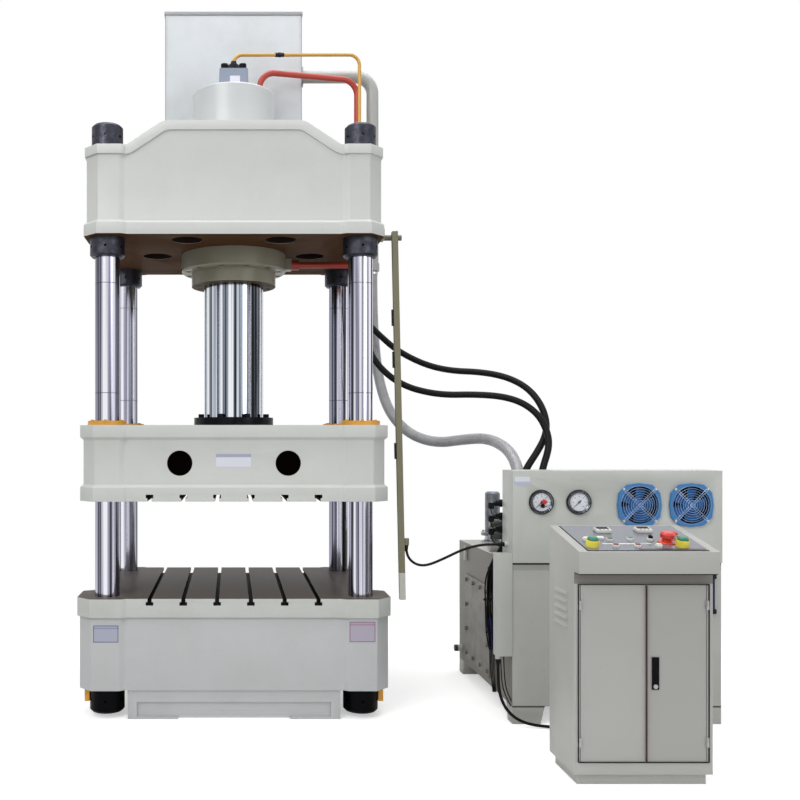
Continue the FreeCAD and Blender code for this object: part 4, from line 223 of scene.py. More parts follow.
def empty_tree(owner: bpy.types.Material | bpy.types.World) -> bpy.types.NodeTree:
    """Switch on the nodes of a material or the world, and empty its tree.

    Args:
        owner: The material or the world.

    Returns:
        The empty tree.
    """
    owner.use_nodes = True
    owner.node_tree.nodes.clear()
    return owner.node_tree


def millimetres(*values: float) -> Vector:
    """Place given in millimetres, as a vector in metres."""
    return Vector(values) * MM


def at(*values: float) -> Matrix:
    """Matrix that carries a shape to a place given in millimetres."""
    return Matrix.Translation(millimetres(*values))


def aligned(axis: Vector, place: Vector, turn: float = 0.0) -> Matrix:
    """Matrix that carries a shape made along Z to a place along an axis.

    Args:
        axis: Where the shape's Z goes.
        place: Where the shape's origin goes.
        turn: Angle about the axis, in radians.

    Returns:
        The matrix.
    """
    turned = axis.to_track_quat("Z", "Y").to_matrix().to_4x4() @ Matrix.Rotation(turn, 4, "Z")
    return Matrix.Translation(place) @ turned


def link(name: str, data: bpy.types.ID) -> bpy.types.Object:
    """Put a new object into the scene.

    Args:
        name: The object's name.
        data: Its mesh, curve, camera or lamp.

    Returns:
        The object.
    """
    piece = bpy.data.objects.new(name, data)
    bpy.context.scene.collection.objects.link(piece)
    return piece


def evaluated(source: bpy.types.Object) -> bpy.types.Mesh:
    """Work out the mesh of an object's curve or modifier.

    Args:
        source: The object, which is removed.

    Returns:
        The mesh.
    """
    bpy.context.view_layer.update()
    data = bpy.data.meshes.new_from_object(source.evaluated_get(bpy.context.evaluated_depsgraph_get()))
    bpy.data.objects.remove(source)
    return data


def mesh_piece(name: str, mesh: bmesh.types.BMesh, material: bpy.types.Material,
               smooth: bool = True) -> bpy.types.Object:
    """Turn an edit mesh into an object with outward faces.

    Args:
        name: The piece's name.
        mesh: The edit mesh, which is used up.
        material: Its finish.
        smooth: Whether its rounded faces are shaded smooth.

    Returns:
        The new object.
    """
    bmesh.ops.recalc_face_normals(mesh, faces=mesh.faces)
    for edge in mesh.edges:
        edge.smooth = len(edge.link_faces) == 2 and edge.calc_face_angle(0.0) < SMOOTH_UNDER
    for face in mesh.faces:
        face.smooth = smooth
    data = bpy.data.meshes.new(name)
    mesh.to_mesh(data)
    mesh.free()
    data.materials.append(material)
    return link(name, data)


def plain_mesh(source: bpy.types.Object, material: bpy.types.Material) -> bpy.types.Object:
    """Turn an object with its curve or modifier into a plain mesh object of the same name.

    Args:
        source: The object, which is removed.
        material: The finish.

    Returns:
        The new object.
    """
    name = source.name
    data = evaluated(source)
    mesh = bmesh.new()
    mesh.from_mesh(data)
    bpy.data.meshes.remove(data)
    return mesh_piece(name, mesh, material)


def mount(piece: bpy.types.Object, slot: str, *replaced: str, body: str = ROOT_BODY) -> None:
    """Fasten a finished piece to its body and note it.

    Args:
        piece: The piece, in place.
        slot: The record's material slot that it takes its finish from.
        replaced: CAD nodes that it stands for.
        body: The CAD body that carries it.
    """
    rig.ride(piece, body)
    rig.slot(piece, slot)
    if replaced:
        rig.replaces(piece, *replaced)
    LOG.info("%s rides on %s", piece.name, body)


def lathe(mesh: bmesh.types.BMesh, profile: Sequence[Pair], matrix: Matrix,
          steps: int = 32, ring_shaped: bool = False) -> None:
    """Add a closed turned shape to an edit mesh.

    Args:
        mesh: The edit mesh.
        profile: Radius and height of each point in millimetres, from one end to the other.
        matrix: Where the shape goes.
        steps: Facets round the shape.
        ring_shaped: Whether the last point joins the first, which leaves a bore.
    """
    rings = []
    for radius, height in profile:
        angles = [2 * math.pi * index / steps for index in range(steps if radius > 0 else 1)]
        rings.append([mesh.verts.new(matrix @ millimetres(radius * math.cos(angle),
                                                          radius * math.sin(angle), height))
                      for angle in angles])
    following = rings[1:] + rings[:1] if ring_shaped else rings[1:]
    for lower, upper in zip(rings, following):
        for index in range(steps):
            quad = [lower[index % len(lower)], lower[(index + 1) % len(lower)],
                    upper[(index + 1) % len(upper)], upper[index % len(upper)]]
            mesh.faces.new(list(dict.fromkeys(quad)))
    if not ring_shaped:
        for ring in (rings[0], rings[-1]):
            if len(ring) > 1:
                mesh.faces.new(ring)


def bar(mesh: bmesh.types.BMesh, size: Sequence[float], matrix: Matrix, chamfer: float) -> None:
    """Add a box with chamfered edges to an edit mesh.

    Args:
        mesh: The edit mesh.
        size: Its three sizes in millimetres.
        matrix: Where its centre goes.
        chamfer: Width of the chamfer in millimetres.
    """
    scale = Matrix.Diagonal((*(Vector(size) * MM), 1.0))
    made = bmesh.ops.create_cube(mesh, size=1.0, matrix=matrix @ scale)
    edges = list(dict.fromkeys(edge for vert in made["verts"] for edge in vert.link_edges))
    bmesh.ops.bevel(mesh, geom=edges, offset=chamfer * MM, segments=2, affect="EDGES")


def front_of(node: str, x: float, z: float) -> float:
    """Find the front face of a CAD node.

    Args:
        node: The CAD node.
        x: Place across the press in millimetres.
        z: Height in millimetres.

    Returns:
        The Y of the face in millimetres.
    """
    data = frame["nodes"][node].data
    surface = BVHTree.FromPolygons([vertex.co for vertex in data.vertices],
                                   [face.vertices for face in data.polygons])
    return surface.ray_cast(millimetres(x, -3000, z), -FRONT)[0].y / MM


def nurbs(name: str, routes: Iterable[Sequence[Point]], thickness: float = 0.0,
          steps: int = 12, rounding: int = 2) -> bpy.types.Object:
    """Smooth curves that have the points of their routes as control points.

    Args:
        name: The object's name.
        routes: Control points of each curve in metres.
        thickness: Diameter in metres, 0 for a bare line.
        steps: Steps between two control points.
        rounding: Steps in a quarter of the section.

    Returns:
        The curve object.
    """
    data = bpy.data.curves.new(name, "CURVE")
    data.dimensions = "3D"
    data.resolution_u = steps
    data.bevel_depth = thickness / 2
    data.bevel_resolution = rounding
    data.use_fill_caps = thickness > 0
    for places in routes:
        spline = data.splines.new("NURBS")
        spline.points.add(len(places) - 1)
        for point, place in zip(spline.points, places):
            point.co = (*place, 1.0)
        spline.order_u = 3
        spline.use_endpoint_u = True
    return link(name, data)


# ---------------------------------------------------------------- repeated parts
class Pattern:
    """Geometry-node tree that grows a small shape on every vertex of a piece.

    Each vertex has an "axis" attribute, which the shape's Z follows. A subclass adds the shape.
    """

    sizes: tuple[str, ...] = ()     # the tree's lengths
    counts: tuple[str, ...] = ()    # the tree's numbers of parts

    def __init__(self) -> None:
        """Make the tree's frame and let the subclass draw the shape."""
        tree = bpy.data.node_groups.new(type(self).__name__, "GeometryNodeTree")
        face = tree.interface
        face.new_socket("Geometry", in_out="OUTPUT", socket_type="NodeSocketGeometry")
        face.new_socket("Geometry", in_out="INPUT", socket_type="NodeSocketGeometry")
        face.new_socket("Material", in_out="INPUT", socket_type="NodeSocketMaterial")
        for names, kind in ((self.counts, "NodeSocketInt"), (self.sizes, "NodeSocketFloat")):
            for name in names:
                face.new_socket(name, in_out="INPUT", socket_type=kind)
        self.tree = tree
        given = add(tree, "NodeGroupInput").outputs
        axis = add(tree, "GeometryNodeInputNamedAttribute", {"data_type": "FLOAT_VECTOR", "Name": "axis"})
        turned = add(tree, "FunctionNodeAlignRotationToVector", {
            "axis": "Z", "Vector": axis.outputs["Attribute"]})
        placed = add(tree, "GeometryNodeInstanceOnPoints", {
            "Points": given["Geometry"], "Instance": self.shape(given), "Rotation": turned})
        real = add(tree, "GeometryNodeRealizeInstances", {"Geometry": placed})
        finished = add(tree, "GeometryNodeSetMaterial", {"Geometry": real, "Material": given["Material"]})
        add(tree, "NodeGroupOutput", {0: finished})

    def shape(self, given: bpy.types.NodeOutputs) -> bpy.types.Node:
        """Draw the shape from the tree's inputs and return its last node."""
        raise NotImplementedError

    def grow(self, name: str, places: Sequence[tuple[Vector, Vector]], material: bpy.types.Material,
             **sizes: float) -> bpy.types.Object:
        """Grow the shape at places.

        Args:
            name: The piece's name.
            places: Pairs of a place in metres and the shape's axis there.
            material: The finish.
            sizes: The tree's inputs by name; lengths in metres.

        Returns:
            The piece as a plain mesh.
        """
        data = bpy.data.meshes.new(name)
        data.from_pydata([spot for spot, _ in places], [], [])
        axes = data.attributes.new("axis", "FLOAT_VECTOR", "POINT")
        for entry, (_, axis) in zip(axes.data, places):
            entry.vector = axis
        source = link(name, data)
        modifier = source.modifiers.new("pattern", "NODES")
        modifier.node_group = self.tree
        values = {"Material": material, **sizes}
        for item in self.tree.interface.items_tree:
            if item.in_out == "INPUT" and item.name in values:
                modifier[item.identifier] = values[item.name]
        return plain_mesh(source, material)


class HexScrews(Pattern):
    """Hexagon screw heads on their washers."""

    sizes = ("Radius", "Height")

    def shape(self, given: bpy.types.NodeOutputs) -> bpy.types.Node:
        """Six-sided head on a washer a third wider than it.

        Args:
            given: The tree's inputs.

        Returns:
            The last node.
        """
        tree = self.tree
        half = add(tree, "ShaderNodeMath", {"operation": "MULTIPLY", 0: given["Height"], 1: 0.5})
        lift = add(tree, "ShaderNodeCombineXYZ", {2: half})
        head = add(tree, "GeometryNodeMeshCylinder", {
            "Vertices": 6, "Radius": given["Radius"], "Depth": given["Height"]})
        raised = add(tree, "GeometryNodeTransform", {"Geometry": head, "Translation": lift})
        wide = add(tree, "ShaderNodeMath", {"operation": "MULTIPLY", 0: given["Radius"], 1: 1.35})
        thin = add(tree, "ShaderNodeMath", {"operation": "MULTIPLY", 0: given["Height"], 1: 0.4})
        washer = add(tree, "GeometryNodeMeshCylinder", {"Vertices": 20, "Radius": wide, "Depth": thin})
        return add(tree, "GeometryNodeJoinGeometry", {0: [washer, raised]})


class WireGuard(Pattern):
    """Fan guard: rings of wire, bulged outwards, on two crossed pairs of braces."""

    counts = ("Rings",)
    sizes = ("Pitch", "Wire", "Bulge", "Gap", "Reach")

    def shape(self, given: bpy.types.NodeOutputs) -> bpy.types.Node:
        """Rings whose height falls with the square of their size, and straight braces under them.

        Args:
            given: The tree's inputs.

        Returns:
            The last node.
        """
        tree = self.tree
        index = add(tree, "GeometryNodeInputIndex")
        number = add(tree, "ShaderNodeMath", {"operation": "ADD", 0: index, 1: 1.0})
        share = add(tree, "ShaderNodeMath", {"operation": "DIVIDE", 0: number, 1: given["Rings"]})
        square = add(tree, "ShaderNodeMath", {"operation": "POWER", 0: share, 1: 2.0})
        left = add(tree, "ShaderNodeMath", {"operation": "SUBTRACT", 0: 1.0, 1: square})
        height = add(tree, "ShaderNodeMath", {"operation": "MULTIPLY", 0: left, 1: given["Bulge"]})
        lift = add(tree, "ShaderNodeCombineXYZ", {2: height})
        line = add(tree, "GeometryNodeMeshLine", {"Offset": (0, 0, 0), "Count": given["Rings"]})
        stack = add(tree, "GeometryNodeSetPosition", {"Geometry": line, "Offset": lift})
        size = add(tree, "ShaderNodeMath", {"operation": "MULTIPLY", 0: number, 1: given["Pitch"]})
        circle = add(tree, "GeometryNodeCurvePrimitiveCircle", {"Resolution": 56, "Radius": 1.0})
        rings = add(tree, "GeometryNodeInstanceOnPoints", {"Points": stack, "Instance": circle,
                                                           "Scale": size})
        curves = add(tree, "GeometryNodeRealizeInstances", {"Geometry": rings})
        pair = []
        for sign in (-0.5, 0.5):
            aside = add(tree, "ShaderNodeMath", {"operation": "MULTIPLY", 0: given["Gap"], 1: sign})
            ends = []
            for end in (-1.0, 1.0):
                far = add(tree, "ShaderNodeMath", {"operation": "MULTIPLY", 0: given["Reach"], 1: end})
                ends.append(add(tree, "ShaderNodeCombineXYZ", {0: far, 1: aside}))
            pair.append(add(tree, "GeometryNodeCurvePrimitiveLine", {"Start": ends[0], "End": ends[1]}))
        both = add(tree, "GeometryNodeJoinGeometry", {0: pair})
        crossed = add(tree, "GeometryNodeJoinGeometry", {0: [
            add(tree, "GeometryNodeTransform", {"Rotation": (0, 0, math.radians(angle)), "Geometry": both})
            for angle in (-45, 45)]})
        wires = []
        for curve, share in ((curves, 0.3), (crossed, 0.5)):
            radius = add(tree, "ShaderNodeMath", {"operation": "MULTIPLY", 0: given["Wire"], 1: share})
            section = add(tree, "GeometryNodeCurvePrimitiveCircle", {"Resolution": 6, "Radius": radius})
            wires.append(add(tree, "GeometryNodeCurveToMesh", {"Fill Caps": True, "Curve": curve,
                                                               "Profile Curve": section}))
        return add(tree, "GeometryNodeJoinGeometry", {0: wires})


class DialMarks(Pattern):
    """Scale marks round a dial, over three quarters of a turn."""

    counts = ("Marks",)
    sizes = ("Radius", "Length", "Width")

    def shape(self, given: bpy.types.NodeOutputs) -> bpy.types.Node:
        """Thin bars that point at the centre, from 225 degrees round to -45.

        Args:
            given: The tree's inputs.

        Returns:
            The last node.
        """
        tree = self.tree
        index = add(tree, "GeometryNodeInputIndex")
        gaps = add(tree, "ShaderNodeMath", {"operation": "SUBTRACT", 0: given["Marks"], 1: 1.0})
        share = add(tree, "ShaderNodeMath", {"operation": "DIVIDE", 0: index, 1: gaps})
        swept = add(tree, "ShaderNodeMath", {"operation": "MULTIPLY", 0: share, 1: math.radians(270)})
        angle = add(tree, "ShaderNodeMath", {"operation": "SUBTRACT", 0: math.radians(225), 1: swept})
        ways = [add(tree, "ShaderNodeMath", {"operation": name, 0: angle}) for name in ("COSINE", "SINE")]
        place = add(tree, "ShaderNodeCombineXYZ", {
            key: add(tree, "ShaderNodeMath", {"operation": "MULTIPLY", 0: way, 1: given["Radius"]})
            for key, way in enumerate(ways)})
        line = add(tree, "GeometryNodeMeshLine", {"Offset": (0, 0, 0), "Count": given["Marks"]})
        spots = add(tree, "GeometryNodeSetPosition", {"Geometry": line, "Offset": place})
        size = add(tree, "ShaderNodeCombineXYZ", {0: given["Length"], 1: given["Width"], 2: 0.0003})
        mark = add(tree, "GeometryNodeMeshCube", {"Size": size})
        turn = add(tree, "ShaderNodeCombineXYZ", {2: angle})
        turned = add(tree, "FunctionNodeEulerToRotation", {0: turn})
        return add(tree, "GeometryNodeInstanceOnPoints", {"Points": spots, "Instance": mark,
                                                          "Rotation": turned})


# ---------------------------------------------------------------- finishes
@dataclass(frozen=True)
class Patch:
    """Region of a painted piece that has another colour.

    The region is a box in millimetres, and faces may have to look along an axis.
    """

    low: Point
    high: Point
    colour: str
    facing: Point | None = None
    roughness: float = 0.6
    shine: float = 0.5          # specular level, low where oil and dust lie

    def mask(self, tree: bpy.types.NodeTree, place: bpy.types.NodeSocket) -> bpy.types.Node:
        """Mask of the patch: 1 inside its box, on faces that look its way.

        Args:
            tree: The material's node tree.
            place: Object coordinates, in metres.

        Returns:
            The node that gives the mask.
        """
        centre = (Vector(self.low) + Vector(self.high)) / 2 * MM
        half = (Vector(self.high) - Vector(self.low)) / 2 * MM
        offset = add(tree, "ShaderNodeVectorMath", {"operation": "SUBTRACT", 0: place, 1: centre})
        size = add(tree, "ShaderNodeVectorMath", {"operation": "ABSOLUTE", 0: offset})
        beyond = add(tree, "ShaderNodeVectorMath", {"operation": "SUBTRACT", 0: size, 1: half})
        parts = add(tree, "ShaderNodeSeparateXYZ", {0: beyond}).outputs
        widest = add(tree, "ShaderNodeMath", {"operation": "MAXIMUM", 0: parts[0], 1: parts[1]})
        furthest = add(tree, "ShaderNodeMath", {"operation": "MAXIMUM", 0: widest, 1: parts[2]})
        inside = add(tree, "ShaderNodeMath", {"operation": "LESS_THAN", 0: furthest, 1: 0.0})
        if self.facing is None:
            return inside
        normal = add(tree, "ShaderNodeNewGeometry").outputs["True Normal"]
        towards = add(tree, "ShaderNodeVectorMath", {"operation": "DOT_PRODUCT", 0: normal, 1: self.facing})
        turned = add(tree, "ShaderNodeMath", {"operation": "GREATER_THAN", 0: towards, 1: 0.6})
        return add(tree, "ShaderNodeMath", {"operation": "MULTIPLY", 0: inside, 1: turned})


@dataclass(frozen=True)
class Finish:
    """A surface finish that makes one Blender material."""

    name: str
    colour: str

    def material(self) -> bpy.types.Material:
        """Make the material on first use.

        Returns:
            The material.
        """
        made = bpy.data.materials.get(self.name)
        if made is None:
            made = bpy.data.materials.new(self.name)
            tree = empty_tree(made)
            place = add(tree, "ShaderNodeTexCoord").outputs["Object"]
            shader = add(tree, "ShaderNodeBsdfPrincipled", self.shade(tree, place))
            add(tree, "ShaderNodeOutputMaterial", {"Surface": shader})
        return made

    def shade(self, tree: bpy.types.NodeTree, place: bpy.types.NodeSocket) -> Inputs:
        """Work out what feeds the principled shader.

        Args:
            tree: The material's node tree.
            place: Object coordinates, in metres.

        Returns:
            The shader's inputs.
        """
        raise NotImplementedError


@dataclass(frozen=True)
class SprayedEnamel(Finish):
    """Two-pack machine enamel sprayed over filler: semi-gloss, with a faint orange peel and soiling."""

    roughness: float = 0.36
    soil: float = 0.10          # share of dust and hand marks
    soil_colour: str = "#8b8578"
    soil_size: float = 260.0    # mm across a soiled cloud
    peel: float = 6.0           # mm across a dimple, drawn coarser than the real 2 mm so that it shows
    patches: tuple[Patch, ...] = ()

    def shade(self, tree: bpy.types.NodeTree, place: bpy.types.NodeSocket) -> Inputs:
        """Cloudy soiling over the colour, patches of other colours and a fine bump.

        Args:
            tree: The material's node tree.
            place: Object coordinates, in metres.

        Returns:
            The shader's inputs.
        """
        cloud = add(tree, "ShaderNodeTexNoise", {
            "Scale": 1000 / self.soil_size, "Detail": 6.0, "Roughness": 0.62, "Vector": place})
        amount = add(tree, "ShaderNodeMapRange", {0: cloud, 1: 0.42, 2: 0.78, 3: 0.0, 4: self.soil})
        fleck = add(tree, "ShaderNodeTexNoise", {"Scale": 90.0, "Detail": 3.0, "Vector": place})
        specks = add(tree, "ShaderNodeMapRange", {0: fleck, 1: 0.66, 2: 0.74, 3: 0.0, 4: self.soil * 1.5})
        total = add(tree, "ShaderNodeMath", {"operation": "ADD", 0: amount, 1: specks})
        colour = add(tree, "ShaderNodeMix", {
            "data_type": "RGBA", 0: total, 6: linear(self.colour), 7: linear(self.soil_colour)})
        rough = add(tree, "ShaderNodeMapRange", {
            0: cloud, 1: 0.3, 2: 0.8, 3: self.roughness, 4: self.roughness + 0.16})
        shine = 0.5
        for patch in self.patches:
            mask = patch.mask(tree, place)
            shine = add(tree, "ShaderNodeMix", {"data_type": "FLOAT", 0: mask, 2: shine, 3: patch.shine})
            colour = add(tree, "ShaderNodeMix", {
                "data_type": "RGBA", 0: mask, 6: colour, 7: linear(patch.colour)})
            rough = add(tree, "ShaderNodeMix", {
                "data_type": "FLOAT", 0: mask, 2: rough, 3: patch.roughness})
        peel = add(tree, "ShaderNodeTexNoise", {"Scale": 1000 / self.peel, "Detail": 2.0, "Vector": place})
        wave = add(tree, "ShaderNodeTexNoise", {"Scale": 3.2, "Detail": 2.0, "Vector": place})
        long_bump = add(tree, "ShaderNodeBump", {"Strength": 0.25, "Distance": 0.004, "Height": wave})
        bump = add(tree, "ShaderNodeBump", {
            "Strength": 0.10, "Distance": 0.0006, "Height": peel, "Normal": long_bump})
        coat = 0.12
        if self.patches:
            coat = add(tree, "ShaderNodeMath", {"operation": "MULTIPLY", 0: shine, 1: 0.24})
        return {"Base Color": colour, "Roughness": rough, "Normal": bump, "Specular IOR Level": shine,
                "Coat Weight": coat, "Coat Roughness": 0.18}


@dataclass(frozen=True)
class HardChrome(Finish):
    """Hard chrome over a ground shaft: mirror bright, with darker streaks of painted reflection along the shaft."""

    # dark of the painted reflection streaks, and of the scribed lines
    dark: str = "#33343b"
    tint: str = "#a9a8bd"       # lilac tint in part of the painted reflection streaks
    reflection_streak: float = 26.0        # mm across a streak of painted reflection
    roughness: float = 0.09
    rings: tuple[float, ...] = ()   # heights of scribed gauge lines, in mm
    line: float = 3.0           # mm across a scribed line, drawn wider than the real 1 mm

    def shade(self, tree: bpy.types.NodeTree, place: bpy.types.NodeSocket) -> Inputs:
        """Streaks of painted reflection that run along Z at two widths, and the scribed lines round the shaft.

        Args:
            tree: The material's node tree.
            place: Object coordinates, in metres.

        Returns:
            The shader's inputs.
        """
        # The dark and lilac streaks are painted reflections of the surroundings.
        across = 1000 / self.reflection_streak
        stretch = add(tree, "ShaderNodeMapping", {"Scale": (across, across, 0.10), "Vector": place})
        wide = add(tree, "ShaderNodeTexNoise", {
            "Scale": 1.0, "Detail": 3.0, "Roughness": 0.6, "Vector": stretch})
        steps = add(tree, "ShaderNodeMapRange", {0: wide, 1: 0.38, 2: 0.52})
        lilac_reflection = add(tree, "ShaderNodeMapRange", {0: wide, 1: 0.50, 2: 0.60})
        tinted = add(tree, "ShaderNodeMix", {
            "data_type": "RGBA", 0: lilac_reflection, 6: linear(self.tint), 7: linear(self.colour)})
        colour = add(tree, "ShaderNodeMix", {
            "data_type": "RGBA", 0: steps, 6: linear(self.dark), 7: tinted})
        rough = add(tree, "ShaderNodeMapRange", {
            0: wide, 1: 0.3, 2: 0.7, 3: self.roughness + 0.10, 4: self.roughness})
        height = add(tree, "ShaderNodeSeparateXYZ", {0: place}).outputs[2]
        for ring in self.rings:
            scribed = add(tree, "ShaderNodeMath", {
                "operation": "COMPARE", 0: height, 1: ring * MM, 2: self.line * MM / 2})
            colour = add(tree, "ShaderNodeMix", {
                "data_type": "RGBA", 0: scribed, 6: colour, 7: linear(self.dark)})
        return {"Base Color": colour, "Roughness": rough, "Metallic": 1.0}


@dataclass(frozen=True)
class WorkedSteel(Finish):
    """Bare, oxidised or blackened steel: mottled, with fine tool marks."""

    second: str = "#2a2a2c"
    mottle: float = 40.0        # mm across a mottled spot
    mark: Point = (1.0, 1.0, 1.0)   # stretch of the tool marks along X, Y and Z
    grain: float = 1.5          # mm between tool marks, drawn coarser than the real 0.3 mm
    roughness: float = 0.45
    metallic: float = 1.0
    patches: tuple[Patch, ...] = ()

    def shade(self, tree: bpy.types.NodeTree, place: bpy.types.NodeSocket) -> Inputs:
        """Two tones mixed by clouds, and directional grooves in the bump.

        Args:
            tree: The material's node tree.
            place: Object coordinates, in metres.

        Returns:
            The shader's inputs.
        """
        cloud = add(tree, "ShaderNodeTexNoise", {
            "Scale": 1000 / self.mottle, "Detail": 8.0, "Roughness": 0.65, "Vector": place})
        share = add(tree, "ShaderNodeMapRange", {0: cloud, 1: 0.35, 2: 0.65})
        colour = add(tree, "ShaderNodeMix", {
            "data_type": "RGBA", 0: share, 6: linear(self.colour), 7: linear(self.second)})
        groove = add(tree, "ShaderNodeMapping", {
            "Scale": tuple(1000 / self.grain * m for m in self.mark), "Vector": place})
        line = add(tree, "ShaderNodeTexNoise", {"Scale": 1.0, "Detail": 2.0, "Vector": groove})
        bump = add(tree, "ShaderNodeBump", {"Strength": 0.15, "Distance": 0.0004, "Height": line})
        rough = add(tree, "ShaderNodeMapRange", {
            0: cloud, 1: 0.3, 2: 0.7, 3: self.roughness - 0.08, 4: self.roughness + 0.14})
        for patch in self.patches:
            colour = add(tree, "ShaderNodeMix", {
                "data_type": "RGBA", 0: patch.mask(tree, place), 6: colour, 7: linear(patch.colour)})
        return {"Base Color": colour, "Roughness": rough, "Normal": bump, "Metallic": self.metallic}


@dataclass(frozen=True)
class Moulded(Finish):
    """Moulded plastic or rubber: one colour with a fine grain."""

    roughness: float = 0.4
    grain: float = 1.2          # mm across the moulded grain, drawn coarser than the real 0.2 mm
    depth: float = 0.08         # strength of the grain
    coat: float = 0.0
    specular: float = 0.5       # low for carbon-black rubber with a dusty skin

    def shade(self, tree: bpy.types.NodeTree, place: bpy.types.NodeSocket) -> Inputs:
        """Grain in the bump, and a slight change of tone and gloss.

        Args:
            tree: The material's node tree.
            place: Object coordinates, in metres.

        Returns:
            The shader's inputs.
        """
        grain = add(tree, "ShaderNodeTexNoise", {"Scale": 1000 / self.grain, "Detail": 2.0, "Vector": place})
        cloud = add(tree, "ShaderNodeTexNoise", {"Scale": 18.0, "Detail": 4.0, "Vector": place})
        tone = add(tree, "ShaderNodeMapRange", {0: cloud, 1: 0.3, 2: 0.7, 3: 0.88, 4: 1.08})
        colour = add(tree, "ShaderNodeHueSaturation", {"Color": linear(self.colour), "Value": tone})
        rough = add(tree, "ShaderNodeMapRange", {
            0: cloud, 1: 0.3, 2: 0.7, 3: self.roughness - 0.05, 4: self.roughness + 0.08})
        bump = add(tree, "ShaderNodeBump", {"Strength": self.depth, "Distance": 0.0004, "Height": grain})
        return {"Base Color": colour, "Roughness": rough, "Normal": bump, "Coat Weight": self.coat,
                "Specular IOR Level": self.specular}


@dataclass(frozen=True)
class GaugeGlass(Finish):
    """Flat float glass of a gauge: clear, thin and sharp."""

    def shade(self, tree: bpy.types.NodeTree, place: bpy.types.NodeSocket) -> Inputs:
        """Clear transmission with a trace of dust in the roughness; the IOR mirrors little, as seen.

        Args:
            tree: The material's node tree.
            place: Object coordinates, in metres.

        Returns:
            The shader's inputs.
        """
        dust = add(tree, "ShaderNodeTexNoise", {"Scale": 120.0, "Detail": 3.0, "Vector": place})
        rough = add(tree, "ShaderNodeMapRange", {0: dust, 1: 0.6, 2: 0.8, 3: 0.0, 4: 0.02})
        return {"Base Color": linear(self.colour), "Roughness": rough, "Transmission Weight": 1.0,
                "IOR": 1.3}


def slot_shade(low: float, high: float, colour: str) -> tuple[Patch, ...]:
    """Inner walls of the T-slots between two heights, bare steel darkened with painted shade; the painted front is
    left alone.

    Args:
        low: Lower height in millimetres.
        high: Upper height in millimetres.
        colour: The colour of the painted shade on the walls.

    Returns:
        One patch for each way that the walls look.
    """
    return tuple(Patch((-480, -700, low), (480, 700, high), colour, facing, 0.7, 0.1)
                 for facing in ((1, 0, 0), (-1, 0, 0), (0, 0, 1), (0, 0, -1)))


PAINTED_CELL_SHADE = "#2a2019"           # painted shade inside the cells of the crown casting
FAN_SHADE = "#0e2040"           # painted shade, dark blue, behind the fans
LOCK_CASE = Patch((1802, -1520, -233), (1834, -1494.5, -92), "#101012", None, 0.4, 0.06)

CROWN_ENAMEL = SprayedEnamel("crown_enamel", "#cfd1cf", patches=(
    # Underside brown, partly its rusty primer and partly painted shade.
    Patch((-900, -700, 1900), (900, 700, 1950), "#4a3019", (0, 0, -1), 0.85, 0.1),
    # The cells inside the crown are coloured dark as painted shade.
    Patch((-600, -570, 1945), (600, 570, 2235), PAINTED_CELL_SHADE, None, 0.8, 0.1)))
SLIDE_ENAMEL = SprayedEnamel("slide_enamel", "#c9ccc8", patches=(
    Patch((-430, -576.5, 600), (430, 576.5, 850), "#8e5c2c", None, 0.8, 0.2),
    # Deeper in the lifting holes the primer is darkened as painted shade.
    Patch((-430, -561, 600), (430, 561, 850), "#3f2617", None, 0.8, 0.1),
    # Underside of the slide in a darker grey: painted shade.
    Patch((-900, -700, 500), (900, 700, 522), "#5e5c56", (0, 0, -1), 0.7),
    *slot_shade(519, 556, "#1d1b19")))
# The press paint, made darker on the bed low down as painted shade.
BED_ENAMEL = SprayedEnamel("bed_enamel", "#b8babb", soil=0.12)
TABLE_FINISH = SprayedEnamel("painted_edge_of_the_table", "#bfc2be", soil=0.16, patches=(
    Patch((-900, -700, -2), (900, 700, 2), "#544c46", (0, 0, 1), 0.62, 0.25),
    *slot_shade(-37, -1.5, "#1f1c1a")))
CYLINDER_ENAMEL = SprayedEnamel("cylinder_enamel", "#c5c8c9", roughness=0.28, patches=(
    # Below the crown the cylinder paint is darkened to olive as painted shade.
    Patch((-400, -400, 1700), (400, 400, 1943.9), "#8f8b79", None, 0.42),))
# The gland has the cylinder paint darkened to olive as painted shade, with soiling; its underside is darker still as
# painted shade.
GLAND_ENAMEL = SprayedEnamel("gland_enamel", "#8f8b79", soil=0.25, soil_colour="#4d483b", patches=(
    Patch((-400, -400, 1500), (400, 400, 1960), "#4a3826", (0, 0, -1), 0.7, 0.2),))
TANK_ENAMEL = SprayedEnamel("tank_enamel", "#c7ccd0", roughness=0.42, soil=0.2, patches=(
    # Darker grey side walls and edges of the tank: painted shade.
    Patch((-431, 200, 2500), (-425, 700, 3530), "#8f9498"),
    Patch((425, 200, 2500), (431, 700, 3530), "#8f9498")))
LID_ENAMEL = SprayedEnamel("tank_lid_enamel", "#9a9da1", roughness=0.45)
UNIT_ENAMEL = SprayedEnamel("power_unit_enamel", "#b9bbb6")
BOX_ENAMEL = SprayedEnamel("instrument_box_enamel", "#bdc0bb", patches=(
    Patch((2000, -662.5, 380), (2540, -482, 630), FAN_SHADE, None, 0.8, 0.1),))
